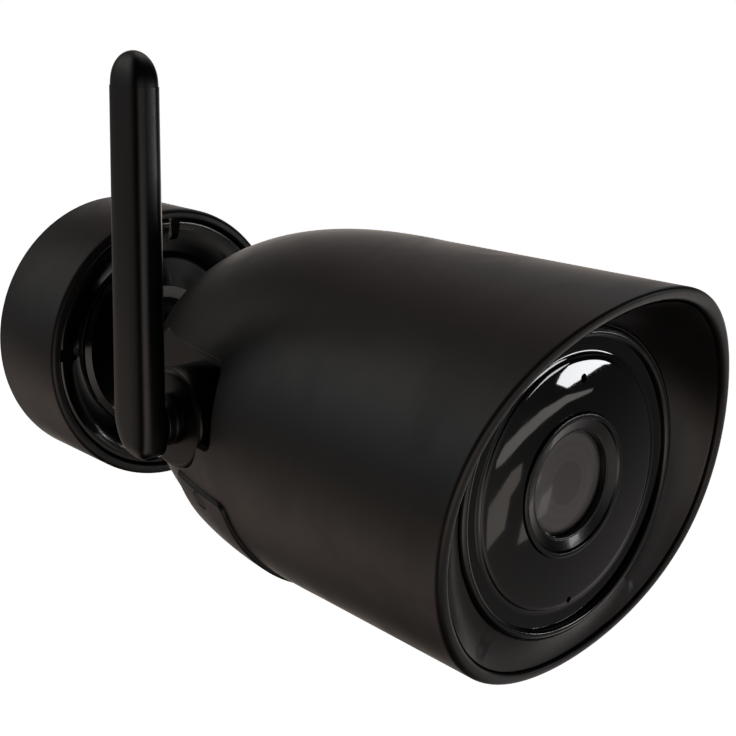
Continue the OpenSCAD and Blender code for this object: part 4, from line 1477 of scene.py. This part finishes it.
@dataclass(frozen=True)
class SoftLight:
    """A broad soft light far away, by its direction round the object, strength and colour."""

    azimuth: float
    elevation: float
    strength: float
    colour: Colour

    @property
    def direction(self) -> Direction:
        """Direction towards the light; azimuth 0 is in front of the lens."""
        a, e = math.radians(self.azimuth), math.radians(self.elevation)
        return (math.sin(a) * math.cos(e), -math.cos(a) * math.cos(e), math.sin(e))

    def add_to(self, graph: Graph, where: bpy.types.NodeSocket,
               total: bpy.types.NodeSocket | Colour) -> bpy.types.NodeSocket:
        """Adds this light to the sum of the others.

        Args:
            graph: the backdrop's nodes.
            where: the direction looked in.
            total: the sum so far.

        Returns:
            The new sum.
        """
        toward = graph.add("ShaderNodeVectorMath", {0: where, 1: self.direction},
                           operation="DOT_PRODUCT").outputs["Value"]
        away = graph.math("MULTIPLY", graph.math("SUBTRACT", toward, 1.0), SOFTNESS)
        share = graph.math("POWER", math.e, away)
        return graph.add("ShaderNodeVectorMath", {
            0: tuple(c * self.strength for c in self.colour), 1: share, 2: total},
            operation="MULTIPLY_ADD").outputs["Vector"]


@dataclass(frozen=True)
class ReflectorCard:
    """A small glowing card in front of the lens that only gloss picks up."""

    name: str
    outline: tuple[Spot, ...]
    glow: float
    colour: Colour = (1.0, 1.0, 1.0)
    distance: float = 0.75

    def build(self) -> None:
        """Adds the card to the stage."""
        points = [Vector((x, -self.distance, z)) for x, z in self.outline]
        card = to_object(self.name, points, [list(range(len(points)))])
        material = bpy.data.materials.new(self.name)
        material.use_nodes = True
        material.node_tree.nodes.clear()
        graph = Graph(material.node_tree)
        lamp = graph.add("ShaderNodeEmission", {"Color": rgba(self.colour), "Strength": self.glow})
        graph.add("ShaderNodeOutputMaterial", {"Surface": lamp.outputs[0]})
        card.data.materials.append(material)
        card.visible_camera = card.visible_diffuse = card.visible_shadow = False


@dataclass(frozen=True)
class Viewpoint:
    """The camera: where it stands and how it is turned."""

    azimuth: float = -42.91
    elevation: float = 15.51
    roll: float = 1.63
    spot: tuple[float, float, float] = (-0.1915, -0.3048, 0.0879)
    lens: float = 67.42
    sensor_width: float = 36.0

    def build(self) -> None:
        """Adds the camera and makes it the scene's own."""
        a, e, r = (math.radians(v) for v in (self.azimuth, self.elevation, self.roll))
        back = Vector((math.sin(a) * math.cos(e), -math.cos(a) * math.cos(e), math.sin(e)))
        level = Vector((math.cos(a), math.sin(a), 0))
        above = back.cross(level)
        right = level * math.cos(r) + above * math.sin(r)
        up = above * math.cos(r) - level * math.sin(r)
        data = bpy.data.cameras.new("camera_view")
        data.lens, data.sensor_width = self.lens, self.sensor_width
        data.clip_start, data.clip_end = 0.01, 50.0
        viewer = bpy.data.objects.new("camera_view", data)
        viewer.matrix_world = Matrix.Translation(self.spot) @ Matrix((right, up, back)).transposed().to_4x4()
        bpy.context.scene.collection.objects.link(viewer)
        bpy.context.scene.camera = viewer


@dataclass
class Studio:
    """A plain pale floor under soft light."""

    lights: tuple[SoftLight, ...]
    cards: tuple[ReflectorCard, ...]
    floor_drop: float = 0.30

    def build_floor(self) -> None:
        """Builds the pale floor, which doesn't show in the object's gloss."""
        half = 6.0
        z = -self.floor_drop
        floor = to_object("floor", [Vector((x, y, z)) for x, y in
                                    ((-half, -half), (half, -half), (half, half), (-half, half))],
                          [[0, 1, 2, 3]])
        material = bpy.data.materials.new("pale_floor")
        material.use_nodes = True
        shader = material.node_tree.nodes["Principled BSDF"]
        shader.inputs["Base Color"].default_value = (0.85, 0.85, 0.85, 1)
        shader.inputs["Roughness"].default_value = 0.9
        shader.inputs["Emission Color"].default_value = (1, 1, 1, 1)
        shader.inputs["Emission Strength"].default_value = 0.9
        floor.data.materials.append(material)
        floor.visible_glossy = False
        floor.visible_diffuse = False

    def build_world(self) -> None:
        """Builds a pale backdrop, with the soft lights in it for all but the camera."""
        world = bpy.data.worlds.new("studio")
        world.use_nodes = True
        world.node_tree.nodes.clear()
        graph = Graph(world.node_tree)
        seen = graph.add("ShaderNodeBackground", {"Color": (1, 1, 1, 1), "Strength": 1.0})
        where = graph.add("ShaderNodeVectorMath", {
            0: graph.add("ShaderNodeTexCoord").outputs["Generated"]}, operation="NORMALIZE").outputs[0]
        total: bpy.types.NodeSocket | Colour = AMBIENT
        for light in self.lights:
            total = light.add_to(graph, where, total)
        lit = graph.add("ShaderNodeBackground", {"Color": total, "Strength": 1.0})
        path = graph.add("ShaderNodeLightPath")
        mixed = graph.add("ShaderNodeMixShader", {0: path.outputs["Is Camera Ray"], 1: lit.outputs[0],
                                                  2: seen.outputs[0]})
        graph.add("ShaderNodeOutputWorld", {"Surface": mixed.outputs[0]})
        bpy.context.scene.world = world

    def build(self) -> None:
        """Builds floor, backdrop and cards, and sets plain colour rendering."""
        self.build_floor()
        self.build_world()
        for card in self.cards:
            card.build()
        bpy.context.scene.view_settings.view_transform = "Standard"


LIGHTS = (
    SoftLight(138, -14, 2.37, (1.00, 0.86, 0.76)),
    SoftLight(105, -25, 1.68, (1.00, 0.94, 0.90)),
    SoftLight(-32, -23, 1.22, (1.00, 0.82, 0.73)),
    SoftLight(-145, 31, 0.79, (1.00, 0.98, 0.92)),
    SoftLight(110, 46, 0.83, (0.86, 0.94, 1.00)),
    SoftLight(0, -13, 0.48, (1.00, 1.00, 1.00)),
    SoftLight(-150, -38, 0.55, (1.00, 0.80, 0.69)),
    SoftLight(143, 62, 0.61, (1.00, 0.70, 0.63)),
    SoftLight(-125, 14, 0.39, (0.88, 0.90, 1.00)),
    SoftLight(20, -29, 0.33, (1.00, 0.94, 0.89)),
    SoftLight(150, 11, 0.31, (1.00, 0.96, 0.94)),
    SoftLight(73, -36, 0.25, (1.00, 0.94, 0.93)),
    SoftLight(-117, -27, 0.25, (1.00, 0.84, 0.66)),
    SoftLight(-170, -20, 0.17, (1.00, 0.93, 0.91)),
)
CARDS = (
    ReflectorCard("bright_card", ((0.650, -0.162), (0.690, -0.124), (0.850, -0.130), (0.858, -0.168),
                                  (0.770, -0.172), (0.686, -0.176)), 9.0, (0.97, 0.98, 1.0)),
    ReflectorCard("ribbon_card", ((0.498, -0.232), (0.520, -0.217), (0.557, -0.203), (0.612, -0.190),
                                  (0.686, -0.187), (0.785, -0.199), (0.778, -0.203), (0.692, -0.199),
                                  (0.622, -0.208), (0.566, -0.223), (0.520, -0.243), (0.503, -0.246)),
                  0.9, (1.0, 0.97, 0.93)),
    ReflectorCard("warm_card", ((0.500, -0.300), (0.545, -0.262), (0.572, -0.256), (0.572, -0.282),
                                (0.552, -0.300), (0.552, -0.350), (0.519, -0.368), (0.500, -0.372)),
                  0.62, (1.0, 0.91, 0.83)),
    ReflectorCard("rim_card", ((0.600, -0.330), (0.655, -0.318), (0.655, -0.392), (0.600, -0.392)),
                  0.62, (1.0, 0.91, 0.83)),
    ReflectorCard("low_ring_card", ((0.48, -0.10), (0.62, -0.10), (0.62, 0.03), (0.48, 0.03)), 6.0),
)


def dress_carried_over() -> None:
    """Gives every CAD node that stays its own finish."""
    for name, finish in CARRIED_OVER.items():
        node = frame["nodes"][name]
        node.data.materials.clear()
        node.data.materials.append(finish.material())
        LOG.info("%s keeps its CAD mesh, finished as %s", name, finish.name)


def main() -> None:
    """Builds the camera piece by piece, then its studio."""
    logging.basicConfig(level=logging.INFO, format="%(message)s")
    Viewpoint().build()
    shape = BodyShape()
    hatch = Hatch(shape)
    WallBase().build()
    ClampCollar().build()
    BallStem().build()
    Housing(shape).build(AntennaPocket(shape), hatch)
    hatch.build()
    HoodFunnel(shape).build()
    FrontWindow().build()
    Antenna().build()
    LeadInlet().build()
    dress_carried_over()
    Studio(LIGHTS, CARDS).build()


if __name__ == "__main__":
    main()
